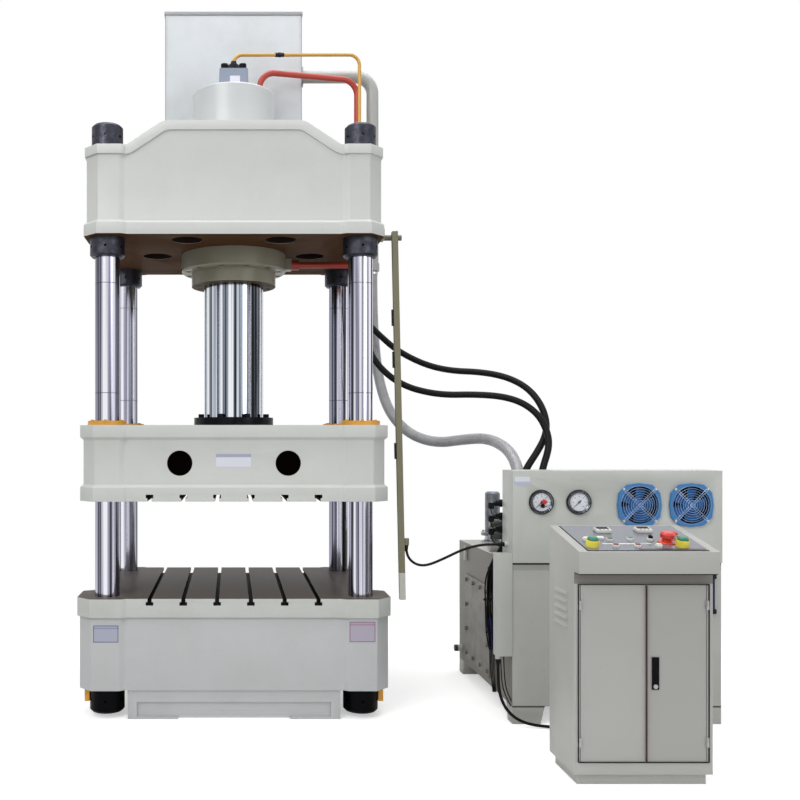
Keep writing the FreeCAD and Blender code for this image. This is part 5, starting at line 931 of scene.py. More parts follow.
RESERVOIR_ENAMEL = SprayedEnamel("reservoir_enamel", "#b2b3ae", soil=0.22, patches=(
    Patch((1410, -700, -650), (1436, 500, 300), "#3a3b3d", None, 0.5, 0.2),
    # Painted shadow under the overhang of the instrument box, fading downwards.
    Patch((1460, -655, 189), (2600, -648, 203), "#3f3f3c", None, 0.6, 0.2),
    Patch((1460, -655, 160), (2600, -648, 189), "#9c9d98", (0, -1, 0), 0.5),
    Patch((1460, -655, -562), (2600, -648, -553), "#4c4c48", (0, -1, 0), 0.5, 0.2),
    # Left wall in a darker grey: painted shade.
    Patch((1400, -655, -560), (1470, 500, 202), "#7d7a72", (-1, 0, 0), 0.55),
    Patch((1400, -290, -330), (1470, -215, -225), "#7a5038", (-1, 0, 0), 0.8)))
# The hatch takes the darker grey of the left wall, which is painted shade, with real soiling.
HATCH_ENAMEL = SprayedEnamel("hatch_enamel", "#77736a", soil=0.55, soil_colour="#54483a", soil_size=90.0)
DESK_ENAMEL = SprayedEnamel("desk_enamel", "#b0b0ac", soil=0.06, patches=(
    LOCK_CASE,
    # Painted shade in the band under the head, above the doors.
    Patch((1460, -1500, 224), (2080, -1490, 276), "#7c7a75", (0, -1, 0), 0.5)))
DOOR_ENAMEL = SprayedEnamel("desk_door_enamel", "#ababa8", soil=0.08, patches=(
    Patch((1779, -1520, -560), (2100, -1494, 230), "#a4a4a1"),
    LOCK_CASE,
    Patch((1808, -1520, -229.5), (1828, -1500.6, -209.5), "#a9abb2", None, 0.25, 0.9)))
PANEL_ENAMEL = SprayedEnamel("desk_plate_enamel", "#71757f", roughness=0.16, soil=0.05)
GREY_ENAMEL = SprayedEnamel("pipe_enamel", "#a9aba8")
RED_ENAMEL = SprayedEnamel("red_pipe_enamel", "#b23a2c", soil=0.08, soil_colour="#6d2820")
YELLOW_ENAMEL = SprayedEnamel("yellow_enamel", "#dfa02f", soil=0.3, soil_colour="#8f6420", soil_size=60.0)
RAIL_ENAMEL = SprayedEnamel("rail_enamel", "#737058", soil=0.3, soil_colour="#4e4a3e", soil_size=180.0,
                            patches=(Patch((800, -500, -40), (1000, -400, 120), "#b9bab4"),))
PILOT_ENAMEL = SprayedEnamel("pilot_pipe_enamel", "#d0a04a", soil=0.2, soil_colour="#8f7440")
VALVE_ENAMEL = SprayedEnamel("valve_enamel", "#868fa2", roughness=0.42, patches=(
    Patch((-40, -40, 3039.5), (40, 40, 3090), "#30333a", None, 0.35, 0.3),))
MOTOR_ENAMEL = SprayedEnamel("motor_enamel", "#5f7186")
FAN_ENAMEL = SprayedEnamel("fan_enamel", "#2c74b0", roughness=0.3, soil=0.05, soil_colour="#1d4670", patches=(
    Patch((2000, -663, 350), (2600, -500, 650), FAN_SHADE, None, 0.8, 0.1),))
ROTOR_PLASTIC = Moulded("moulded_blue_fan_blades", "#2b70b8", 0.5, specular=0.25)
STACK_ENAMEL = SprayedEnamel("valve_stack_enamel", "#5a5c59", soil=0.3, patches=(
    Patch((1440, -480, 190), (1765, -270, 258), "#a3a49e"),))
TOWER_ENAMEL = SprayedEnamel("valve_tower_enamel", "#8d918b", soil=0.3)
FILTER_CAN = WorkedSteel("painted_filter_can", "#8f9299", "#6d7077", 40.0, roughness=0.38, metallic=0.5)
PLATE_PRINT = SprayedEnamel("anodised_blank_plates", "#d9dce6", roughness=0.3, soil=0.05, patches=(
    Patch((-760, -640, -240), (-600, -560, -130), "#585f86"),
    Patch((-745, -640, -227), (-619, -560, -145), "#a3a6b6"),
    Patch((-745, -640, -160), (-619, -560, -152), "#8a8fae"),
    Patch((600, -640, -240), (760, -560, -110), "#86627e"),
    Patch((619, -640, -225), (748, -560, -125), "#a9a2b2"),
    Patch((619, -640, -141), (748, -560, -132), "#a58898"),
    Patch((-120, -600, 754), (110, -560, 771), "#a3a6bd"),
    Patch((1400, -680, 600), (1900, -660, 628), "#b9bed6"),
    Patch((1580, -680, 630), (1900, -660, 660), "#c3c4c2")))
COLUMN_CHROME = HardChrome("hard_chrome_on_ground_columns", "#eceef2", rings=(1696.0, 1101.0))
RAM_CHROME = HardChrome("hard_chrome_on_ground_ram", "#f0f3f6", "#25262b", "#a9b1bd", 30.0)
BLACK_NUT = WorkedSteel("blackened_turned_steel", "#46474f", "#33343c", 30.0, (0.05, 0.05, 1.0), 1.6, 0.42,
                        # The lower nuts, at the bed, are nearly black: painted shade.
                        patches=(Patch((-900, -700, -650), (900, 700, -400), "#131315"),))
BLACK_SCREW = WorkedSteel("black_oxide_screw_steel", "#1d1d20", "#111114", 15.0)
BLACK_RING = WorkedSteel("black_oxide_ring", "#202125", "#141418", 40.0, (1.0, 1.0, 1.0), 1.5, 0.38)
BRIGHT_STEEL = WorkedSteel("zinc_plated_steel", "#c4c6c8", "#9fa2a6", 20.0, roughness=0.3)
IRON = WorkedSteel("cast_iron_with_oil", "#55585a", "#35383a", 25.0, roughness=0.55, metallic=0.3)
BRONZE = WorkedSteel("turned_bronze", "#b08850", "#8b6a3c", 20.0, (0.05, 0.05, 1.0), 1.2, 0.35)
GUARD_WIRE = WorkedSteel("chromed_guard_wire", "#d2e0f2", "#9db2cf", 30.0, roughness=0.16)
GAUGE_RIM = WorkedSteel("polished_gauge_rim", "#4c4e52", "#1b1c1f", 30.0, roughness=0.16)
# Polished steel coloured dark as painted shade inside the bezel.
GAUGE_INNER_RING = WorkedSteel("inner_ring_dark_as_painted_shade", "#6e7278", "#24262a", 22.0, roughness=0.3)
SWITCH_BLACK = Moulded("moulded_black_thermoset", "#101113", 0.5, specular=0.2)
FITTING_BLACK = WorkedSteel("phosphated_fitting_steel", "#2e3036", "#1d1f22", 12.0, roughness=0.4)
LOCK_BLACK = Moulded("cast_lock_black_powder_coat", "#0e0e10", 0.42, 0.9, 0.2, specular=0.06)
DIAL_WHITE = Moulded("enamelled_dial", "#e6eaf2", 0.4, depth=0.01)
DIAL_BLACK = Moulded("dial_printing_black", "#0b0c0e", 0.5, depth=0.01, specular=0.1)
DIAL_RED = Moulded("dial_pointer_red", "#c4282e", 0.35, depth=0.01)
HOSE_RUBBER = Moulded("wrapped_hydraulic_hose_rubber", "#0d0d0e", 0.5, 2.4, 0.35, specular=0.16)
CABLE_RUBBER = Moulded("neoprene_cable_sheath", "#0a0a0b", 0.45, specular=0.16)
CABLE_BLUE = Moulded("blue_pvc_cable_sheath", "#1d2350", 0.4, specular=0.2)
RETURN_VINYL = Moulded("wire_reinforced_vinyl_hose", "#a3a3a6", 0.3, 2.0, 0.15, 0.3)
RED_CAP = Moulded("moulded_red_cap", "#d8352b", 0.28, coat=0.3)
MAROON_CAP = Moulded("moulded_maroon_cap", "#7c1f2c", 0.3, coat=0.3)
MAROON_STRIP = Moulded("maroon_blank_strip", "#3f1518", 0.35, coat=0.3)
WHITE_CAP = Moulded("moulded_white_cap", "#e4e3de", 0.3, coat=0.3)
GREEN_CAP = Moulded("moulded_green_cap", "#2d7d62", 0.3, coat=0.3)
ORANGE_RED = Moulded("moulded_orange_red_ring", "#e0452a", 0.3, coat=0.2)
DARK_GREEN_CAP = Moulded("moulded_dark_green_cap", "#1c5747", 0.3, coat=0.3)
YELLOW_SHROUD = Moulded("moulded_yellow_shroud", "#f0e04a", 0.35, coat=0.2)


# ---------------------------------------------------------------- studio
@dataclass
class Studio:
    """Plain studio that stands in for the cut-out photograph."""

    eye: Point = (-0.017, -5.390, 0.846)
    lens: float = 40.52
    shift_x: float = 0.2115
    shift_y: float = 0.05
    floor_middle: Point = (0.9, -0.3, -0.650)
    floor_lift: float = 0.45    # brightness that only the camera sees, which makes the floor white

    def camera(self) -> None:
        """Level camera, shifted sideways and up as the crop of the photograph is."""
        data = bpy.data.cameras.new("camera")
        data.lens = self.lens
        data.sensor_width = 36.0
        data.shift_x = self.shift_x
        data.shift_y = self.shift_y
        data.clip_start = 0.05
        piece = link("camera", data)
        piece.location = self.eye
        piece.rotation_euler = (math.radians(90), 0, 0)
        scene = bpy.context.scene
        scene.camera = piece
        scene.view_settings.view_transform = "Standard"

    def world(self) -> None:
        """White backdrop for the camera, and a soft hall of light for the surfaces."""
        world = bpy.data.worlds.new("hall")
        bpy.context.scene.world = world
        tree = empty_tree(world)
        way = add(tree, "ShaderNodeTexCoord").outputs["Generated"]
        rise = add(tree, "ShaderNodeSeparateXYZ", {0: way}).outputs[2]
        height = add(tree, "ShaderNodeMapRange", {0: rise, 1: -0.6, 2: 0.9, 3: 0.22, 4: 0.60})
        ray = add(tree, "ShaderNodeLightPath").outputs
        seen = add(tree, "ShaderNodeMath", {
            "operation": "MAXIMUM", 0: ray["Is Camera Ray"], 1: ray["Is Transmission Ray"]})
        mirrored = add(tree, "ShaderNodeMath", {"operation": "MAXIMUM", 0: seen, 1: ray["Is Glossy Ray"]})
        level = add(tree, "ShaderNodeMix", {"data_type": "FLOAT", 0: mirrored, 2: height, 3: 1.0})
        light = add(tree, "ShaderNodeBackground", {"Color": (1, 1, 1, 1), "Strength": level})
        add(tree, "ShaderNodeOutputWorld", {"Surface": light})

    def lamp(self, name: str, place: Point, target: Point, size: float, power: float) -> None:
        """Add a square soft box.

        Args:
            name: The lamp's name.
            place: Where it hangs, in metres.
            target: What it looks at.
            size: Its side in metres.
            power: Its power in watts.
        """
        data = bpy.data.lights.new(name, "AREA")
        data.size = size
        data.energy = power
        piece = link(name, data)
        piece.location = place
        piece.rotation_euler = (Vector(target) - Vector(place)).to_track_quat("-Z", "Y").to_euler()

    def floor(self) -> None:
        """White floor that keeps the shadow and fades into the backdrop."""
        mesh = bmesh.new()
        bmesh.ops.create_grid(mesh, x_segments=1, y_segments=1, size=9.0,
                              matrix=Matrix.Translation(self.floor_middle))
        material = bpy.data.materials.new("studio_floor")
        tree = empty_tree(material)
        place = add(tree, "ShaderNodeTexCoord").outputs["Object"]
        offset = add(tree, "ShaderNodeVectorMath", {
            "operation": "DISTANCE", 0: place, 1: self.floor_middle})
        fade = add(tree, "ShaderNodeMapRange", {0: offset, 1: 2.2, 2: 4.2})
        ray = add(tree, "ShaderNodeLightPath").outputs["Is Camera Ray"]
        white = add(tree, "ShaderNodeMath", {"operation": "MULTIPLY", 0: ray, 1: self.floor_lift})
        matt = add(tree, "ShaderNodeBsdfDiffuse", {"Color": (0.93, 0.93, 0.93, 1)})
        glow = add(tree, "ShaderNodeEmission", {"Strength": white})
        lit = add(tree, "ShaderNodeAddShader", {0: matt, 1: glow})
        clear = add(tree, "ShaderNodeBsdfTransparent")
        both = add(tree, "ShaderNodeMixShader", {0: fade, 1: lit, 2: clear})
        add(tree, "ShaderNodeOutputMaterial", {"Surface": both})
        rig.stage(mesh_piece("studio_floor", mesh, material))

    def build(self) -> None:
        """Set up the camera, the world, the lamps and the floor."""
        self.camera()
        self.world()
        self.lamp("key", (-3.2, -5.6, 5.2), (0.4, 0.0, 0.9), 3.4, 200)
        self.lamp("fill", (5.0, -6.0, 2.6), (1.2, 0.0, 0.6), 3.0, 75)
        self.lamp("ceiling", (0.8, -0.6, 6.4), (0.8, -0.2, 0.0), 4.5, 190)
        self.floor()


# ---------------------------------------------------------------- hoses and cables
class CordEnd(Enum):
    """What holds a cord at its ends."""

    CRIMP = "crimped steel ferrule with a union nut"
    BAND = "band clamp"
    BOOT = "tapered rubber boot"


@dataclass
class Cord:
    """A hose or cable that hangs along its route; places are in metres."""

    node: str
    diameter: float
    length: float
    route: tuple[Point, ...]
    finish: Finish
    slot: str
    end: CordEnd
    lay: str = "hanging"
    stiffness: str = "stiff"
    rib_pitch: float = 0.0      # mm between the turns of a reinforced hose, 0 for a plain one
    rib_height: float = 0.0
    sides: int = 28

    def centreline(self) -> list[Vector]:
        """Follow the curve from the exit to the far end.

        Returns:
            Points along it, close together.
        """
        line = evaluated(nurbs(self.node + "_guide", [self.route], steps=24))
        points = [vertex.co.copy() for vertex in line.vertices]
        bpy.data.meshes.remove(line)
        return points

    def ribbed_tube(self, line: list[Vector]) -> bpy.types.Object:
        """Tube with a helical rib.

        Args:
            line: The points that it follows.

        Returns:
            The tube.
        """
        mesh = bmesh.new()
        pitch, rib = self.rib_pitch * MM, self.rib_height * MM
        reach = [0.0]
        for start, end in zip(line, line[1:]):
            reach.append(reach[-1] + (end - start).length)
        count = int(reach[-1] / (pitch / 6))
        normal = Vector((0, 1, 0))
        segment = 0
        rings: list[list[bmesh.types.BMVert]] = []
        for index in range(count + 1):
            distance = reach[-1] * index / count
            while segment < len(line) - 2 and reach[segment + 1] < distance:
                segment += 1
            start, end = line[segment], line[segment + 1]
            along = (end - start).normalized()
            centre = start.lerp(end, (distance - reach[segment]) / (reach[segment + 1] - reach[segment]))
            normal = (normal - along * normal.dot(along)).normalized()
            side = along.cross(normal)
            ring = []
            for part in range(self.sides):
                angle = 2 * math.pi * part / self.sides
                phase = distance / pitch - part / self.sides
                radius = self.diameter / 2 - rib + rib * (0.5 + 0.5 * math.cos(2 * math.pi * phase))
                ring.append(mesh.verts.new(centre + radius * (normal * math.cos(angle)
                                                              + side * math.sin(angle))))
            rings.append(ring)
        for before, after in zip(rings, rings[1:]):
            for part in range(self.sides):
                beside = (part + 1) % self.sides
                mesh.faces.new((before[part], before[beside], after[beside], after[part]))
        mesh.faces.new(rings[0])
        mesh.faces.new(rings[-1])
        return mesh_piece(self.node + "_tube", mesh, self.finish.material())

    def fitting(self, name: str, start: Vector, towards: Vector) -> bpy.types.Object:
        """Piece that holds one end of the cord.

        Args:
            name: The piece's name.
            start: The end of the cord.
            towards: A point further along the cord.

        Returns:
            The piece.
        """
        radius = self.diameter / MM / 2
        mesh = bmesh.new()
        axis = (towards - start).normalized()
        matrix = aligned(axis, start)
        if self.end is CordEnd.CRIMP:
            lathe(mesh, [(0, 0), (radius + 4, 0), (radius + 6.5, 2), (radius + 6.5, 20), (radius + 5, 22)]
                  + [(radius + 3.4 + 1.2 * (k % 2), 23 + 5 * k) for k in range(7)]
                  + [(radius + 2.4, 57), (radius + 0.6, 59), (0, 59)], matrix)
        elif self.end is CordEnd.BAND:
            lathe(mesh, [(0, 8), (radius + 1.5, 8), (radius + 2.6, 9), (radius + 2.6, 21), (radius + 1.5, 22),
                         (0, 22)], matrix, 40)
            bar(mesh, (15, 9, 13), aligned(axis, start, math.radians(35)) @ at(0, radius + 6, 15), 1.5)
        else:
            lathe(mesh, [(0, 0), (radius + 5, 0), (radius + 5.5, 1.5), (radius + 4, 10), (radius + 2.2, 26),
                         (radius + 0.8, 36), (0, 36.5)], matrix)
        finish = CABLE_RUBBER if self.end is CordEnd.BOOT else BRIGHT_STEEL
        return mesh_piece(name, mesh, finish.material())

    def build(self) -> None:
        line = None
        if self.rib_pitch:
            points = self.centreline()
            piece = self.ribbed_tube(points)
            line = [tuple(point) for point in points]
        else:
            piece = nurbs(self.node + "_line", [self.route], self.diameter, 24, 6)
            piece.data.materials.append(self.finish.material())
        mount(piece, self.slot, self.node)
        ends = [self.fitting(self.node + name, Vector(self.route[first]), Vector(self.route[second]))
                for name, first, second in (("_near_end", 0, 1), ("_far_end", -1, -2))]
        for end in ends:
            mount(end, "cable_rubber" if self.end is CordEnd.BOOT else "gauge_metal")
        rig.cord(piece, exit=self.route[0], length=self.length, diameter=self.diameter, far_end="object",
                stiffness=self.stiffness, lay=self.lay, path=line, with_pieces=ends)


def route(*points: Point) -> tuple[Point, ...]:
    """Route given in millimetres, in metres."""
    return tuple((x * MM, y * MM, z * MM) for x, y, z in points)


CORDS = (
    Cord("hose_upper", 0.038, 2.129, route(
        (775, 265, 1790), (775, 265, 1715), (798, 259, 1636), (850, 246, 1565), (925, 226, 1486),
        (1020, 200, 1397), (1175, 155, 1310), (1320, 102, 1268), (1495, 28, 1255), (1627, -50, 1218),
        (1721, -125, 1150), (1771, -200, 1053), (1785, -255, 951), (1766, -292, 872), (1714, -325, 790),
        (1636, -345, 684), (1603, -352, 600), (1596, -352, 520), (1596, -352, 446)),
        HOSE_RUBBER, "hose_rubber", CordEnd.CRIMP),
    Cord("hose_lower", 0.038, 1.813, route(
        (800, 0, 1530), (800, 0, 1458), (812, -4, 1385), (843, -12, 1320), (895, -24, 1256),
        (960, -38, 1200), (1062, -62, 1146), (1223, -105, 1110), (1401, -160, 1111), (1547, -213, 1097),
        (1650, -258, 1058), (1725, -300, 987), (1762, -332, 893), (1761, -364, 805), (1713, -390, 685),
        (1698, -395, 600), (1696, -395, 520), (1696, -395, 446)),
        HOSE_RUBBER, "hose_rubber", CordEnd.CRIMP),
    Cord("return_hose", 0.064, 2.216, route(
        (885, 345, 1920), (885, 345, 1710), (895, 332, 1450), (920, 302, 1210), (980, 262, 1010),
        (1095, 204, 878), (1245, 130, 826), (1390, 30, 850), (1495, -90, 858), (1563, -250, 800),
        (1583, -368, 700), (1571, -438, 575), (1571, -438, 446)),
        RETURN_VINYL, "return_rubber", CordEnd.BAND, rib_pitch=12.0, rib_height=0.9),
    Cord("switch_cable", 0.014, 0.615, route(
        (944, -458, 272), (944, -458, 226), (968, -459, 184), (1010, -464, 160), (1062, -474, 163),
        (1143, -495, 202), (1234, -520, 253), (1322, -545, 282), (1398, -570, 288), (1446, -570, 288)),
        CABLE_RUBBER, "cable_rubber", CordEnd.BOOT, stiffness="medium"),
    Cord("desk_cable", 0.016, 1.040, route(
        (1396, -627, -310), (1396, -627, -395), (1398, -638, -484), (1420, -672, -560),
        (1472, -700, -610), (1548, -716, -634), (1650, -728, -640), (1748, -775, -640),
        (1800, -868, -640), (1806, -940, -640), (1804, -1010, -626), (1801, -1060, -582),
        (1800, -1111, -560), (1800, -1159, -560)),
        CABLE_RUBBER, "cable_rubber", CordEnd.BOOT, "loose", "medium"))


# ---------------------------------------------------------------- sub-assemblies
def dress(finish: Finish, *names: str) -> None:
    """Give CAD nodes a finish.

    Args:
        finish: The finish.
        names: The nodes.
    """
    for name in names:
        slots = frame["nodes"][name].data.materials
        slots.clear()
        slots.append(finish.material())


def fasten(name: str, mesh: bmesh.types.BMesh, finish: Finish, slot: str, *replaced: str,
           body: str = ROOT_BODY, smooth: bool = True) -> None:
    """Finish an edit mesh and fasten it to its body.

    Args:
        name: The piece's name.
        mesh: The edit mesh, which is used up.
        finish: Its finish.
        slot: The record's material slot that it takes its finish from.
        replaced: CAD nodes that it stands for.
        body: The CAD body that carries it.
        smooth: Whether its rounded faces are shaded smooth.
    """
    mount(mesh_piece(name, mesh, finish.material(), smooth), slot, *replaced, body=body)


def soften(node: str, width: float, finish: Finish, slot: str, body: str = ROOT_BODY) -> None:
    """Replace a CAD node by a copy with its sharp edges rounded as on a ground casting.

    Args:
        node: The CAD node.
        width: Width of the rounding in millimetres.
        finish: The finish.
        slot: The record's material slot.
        body: The CAD body that carries it.
    """
    mesh = bmesh.new()
    mesh.from_mesh(frame["nodes"][node].data)
    bmesh.ops.remove_doubles(mesh, verts=mesh.verts, dist=0.01 * MM)
    bmesh.ops.dissolve_limit(mesh, angle_limit=math.radians(0.5), verts=mesh.verts,
                             edges=mesh.edges, delimit={"NORMAL"})
    sharp = [edge for edge in mesh.edges
             if len(edge.link_faces) == 2 and edge.calc_face_angle(0.0) > SHARP_OVER]
    bmesh.ops.bevel(mesh, geom=sharp, offset=width * MM, segments=2, affect="EDGES",
                    clamp_overlap=True, profile=0.6)
    fasten(node + "_casting", mesh, finish, slot, node, body=body)


def blank_plate(name: str, node: str, middle: Pair, size: Pair,
                body: str = ROOT_BODY) -> None:
    """Fasten a bare metal plate with four rivets to the front of a casting.

    Args:
        name: The piece's name.
        node: The casting.
        middle: X and Z of its middle in millimetres.
        size: Its width and height in millimetres.
        body: The body that carries it.
    """
    x, z = middle
    wide, high = size
    spot = millimetres(x, front_of(node, x, z), z)
    mesh = bmesh.new()
    bar(mesh, (wide, high, 1.6), aligned(FRONT, spot + FRONT * 0.0006), 0.4)
    for sx, sz in CORNERS:
        place = spot + millimetres(sx * (wide / 2 - 5), -1.2, sz * (high / 2 - 5))
        lathe(mesh, [(0, 0), (2.4, 0), (2.0, 0.9), (0, 1.2)], aligned(FRONT, place), 12)
    fasten(name, mesh, PLATE_PRINT, "gauge_metal", body=body)


def around(x: float, y: float, z: float, radius: float, count: int) -> list[tuple[Vector, Vector]]:
    """Places of screws evenly spread on a circle, and the axis that they look along.

    Args:
        x: Place of the circle's centre across the press in millimetres.
        y: Its place from front to back.
        z: Its height.
        radius: The circle's radius.
        count: Number of screws.

    Returns:
        Pairs of place and axis.
    """
    turns = [2 * math.pi * (index + 0.5) / count for index in range(count)]
    return [(millimetres(x + radius * math.cos(t), y + radius * math.sin(t), z), UP) for t in turns]


@dataclass
class PressFrame:
    """Bed, crown, columns and their nuts."""

    casting_edge: float = 2.5
    table_edge: float = 1.2
    plates: tuple[Plate, ...] = (
        ("bed_plate_left", (-682.0, -186.0), (134.0, 90.0)),
        ("bed_plate_right", (683.5, -175.0), (137.0, 108.0)))

    def build(self) -> None:
        """Dress the castings and fasten the blank plates."""
        soften("bed_box", self.casting_edge, BED_ENAMEL, "press_paint")
        soften("bed_table", self.table_edge, TABLE_FINISH, "table_steel")
        soften("crown", self.casting_edge, CROWN_ENAMEL, "press_paint")
        for name, middle, size in self.plates:
            blank_plate(name, "bed_box", middle, size)
        dress(COLUMN_CHROME, "columns")
        dress(BLACK_NUT, "column_nuts")
        dress(YELLOW_ENAMEL, "nut_lock_plates")


@dataclass
class Slide:
    """Moving beam with its ram and guides."""

    casting_edge: float = 2.5
    column: Pair = (690.0, 475.0)
    wiper_top: float = 950.0
    wiper_screw_circle: float = 89.0
    wiper_screws: int = 6
    plate: Plate = ("slide_plate", (-2.5, 736.5), (187.0, 69.0))

    def build(self) -> None:
        """Dress the slide and the pieces that travel with it."""
        soften("slide_beam", self.casting_edge, SLIDE_ENAMEL, "press_paint", SLIDE_BODY)
        name, middle, size = self.plate
        blank_plate(name, "slide_beam", middle, size, SLIDE_BODY)
        dress(RAM_CHROME, "ram")
        dress(BLACK_RING, "ram_clamp_ring", "ram_clamp_bolts")
        dress(YELLOW_ENAMEL, "column_wipers")
        dress(BRONZE, "guide_bushes")
        places = []
        for sx, sy in CORNERS:
            places += around(sx * self.column[0], sy * self.column[1], self.wiper_top,
                             self.wiper_screw_circle, self.wiper_screws)
        mount(SCREWS.grow("wiper_screws", places, YELLOW_ENAMEL.material(), Radius=0.007, Height=0.006),
              "yellow_paint", body=SLIDE_BODY)


@dataclass
class TopWorks:
    """Cylinder, prefill valve, tank and pipes on the crown."""

    sheet_edge: float = 4.0
    lid_edge: float = 2.0
    tank_half_width: float = 430.0
    tank_front: float = 280.0
    tank_depth: float = 360.0
    tank_foot: float = 2553.0
    tank_top: float = 3521.0
    seam: float = 16.0
    pilot_sleeve: Point = (278.0, 69.4, 3180.9)
    pilot_start: Point = (0.0, 0.0, 3151.0)
    valve_top: float = 3079.0
    plate: Plate = ("valve_plate", (7.5, 2971.0), (59.0, 42.0))

    def tank_seams(self) -> None:
        """Folded seam round the front and back sheets of the tank."""
        mesh = bmesh.new()
        for y in (self.tank_front, self.tank_front + self.tank_depth):
            for side in (-1, 1):
                bar(mesh, (self.seam, 5, self.tank_top - self.tank_foot - 4),
                    at(side * (self.tank_half_width - self.seam / 2), y,
                       (self.tank_foot + self.tank_top) / 2), 2)
        fasten("crown_tank_seams", mesh, TANK_ENAMEL, "press_paint")

    def pilot_fittings(self) -> None:
        """Sleeve coupling on the pilot pipe and the union nut on the valve's fitting."""
        mesh = bmesh.new()
        along = (Vector(self.pilot_sleeve) - Vector(self.pilot_start)).normalized()
        lathe(mesh, [(0, -28), (11.5, -28), (12.5, -26), (12.5, -9), (14.5, -8), (14.5, 8), (12.5, 9),
                     (12.5, 26), (11.5, 28), (0, 28)], aligned(along, millimetres(*self.pilot_sleeve)), 24)
        base = at(0, 0, self.valve_top - 14)
        lathe(mesh, [(0, 0), (31, 0), (33, 2), (33, 24), (31, 26), (0, 26)], base, 6)
        lathe(mesh, [(0, 26), (19, 26), (17, 44), (0, 44)], base, 20)
        fasten("pilot_pipe_fittings", mesh, FITTING_BLACK, "switch_black")

    def build(self) -> None:
        """Dress what stands on the crown."""
        dress(CYLINDER_ENAMEL, "main_cylinder")
        dress(GLAND_ENAMEL, "cylinder_gland")
        dress(BLACK_SCREW, "cap_screws")
        dress(VALVE_ENAMEL, "prefill_valve")
        name, middle, size = self.plate
        blank_plate(name, "prefill_valve", middle, size)
        soften("crown_tank", self.sheet_edge, TANK_ENAMEL, "press_paint")
        soften("crown_tank_lid", self.lid_edge, LID_ENAMEL, "press_paint")
        self.tank_seams()
        self.pilot_fittings()
        dress(GREY_ENAMEL, "return_pipe")
        dress(RED_ENAMEL, "pressure_pipes")
        dress(PILOT_ENAMEL, "pilot_pipe")
        dress(RAIL_ENAMEL, "limit_rail", "rail_arm")
        dress(SWITCH_BLACK, "limit_switches")


@dataclass
class PressureGauge:
    """Flanged gauge in the instrument box."""

    x: float
    z: float = 520.0
    wall: float = -664.0        # Y of the panel that it is let into
    radius: float = 66.0
    dial_radius: float = 57.5
    dial_rise: float = 4.0      # dial above the panel
    figure_circle: float = 31.0
    figure_size: float = 8.5

    def matrix(self, rise: float) -> Matrix:
        """Frame on the gauge's axis, a rise in millimetres in front of the panel."""
        return aligned(FRONT, millimetres(self.x, self.wall - rise, self.z))

    def case(self, mesh: bmesh.types.BMesh) -> None:
        """Add the rolled rim and the case behind the panel.

        Args:
            mesh: The edit mesh.
        """
        rim = self.radius
        lathe(mesh, [(0, -42), (50, -42), (52, -40), (52, 0), (rim, 0), (rim, 2.5), (rim - 1.5, 4),
                     (rim - 2.2, 11), (rim - 4, 15), (rim - 6, 16), (rim - 7.6, 15.4), (rim - 8, 14),
                     (rim - 8, self.dial_rise), (0, self.dial_rise)], self.matrix(0), 64)

    def inner_ring(self, mesh: bmesh.types.BMesh) -> None:
        """Add the conical ring between the glass and the dial, coloured dark as painted shade.

        Args:
            mesh: The edit mesh.
        """
        rim = self.radius - 8
        lathe(mesh, [(rim - 11, 4.6), (rim - 0.3, 4.6), (rim - 0.3, 13.4), (rim - 2, 13.4), (rim - 11, 6)],
              self.matrix(0), 64, True)

    def dial(self, mesh: bmesh.types.BMesh) -> None:
        """Add the enamelled dial plate.

        Args:
            mesh: The edit mesh.
        """
        lathe(mesh, [(0, -0.5), (self.dial_radius, -0.5), (self.dial_radius, 0.5), (0, 0.5)],
              self.matrix(self.dial_rise), 64)

    def figures(self, mesh: bmesh.types.BMesh) -> None:
        """Add the plain numbers 0 to 60 round the scale.

        Args:
            mesh: The edit mesh.
        """
        for index in range(7):
            data = bpy.data.curves.new("figures", "FONT")
            data.body = str(10 * index)
            data.size = self.figure_size * MM
            data.extrude = 0.15 * MM
            data.align_x = data.align_y = "CENTER"
            flat = evaluated(link("figures", data))
            angle = math.radians(225 - 45 * index)
            flat.transform(self.matrix(self.dial_rise + 0.7)
                           @ at(self.figure_circle * math.cos(angle),
                                self.figure_circle * math.sin(angle), 0))
            mesh.from_mesh(flat)
            bpy.data.meshes.remove(flat)


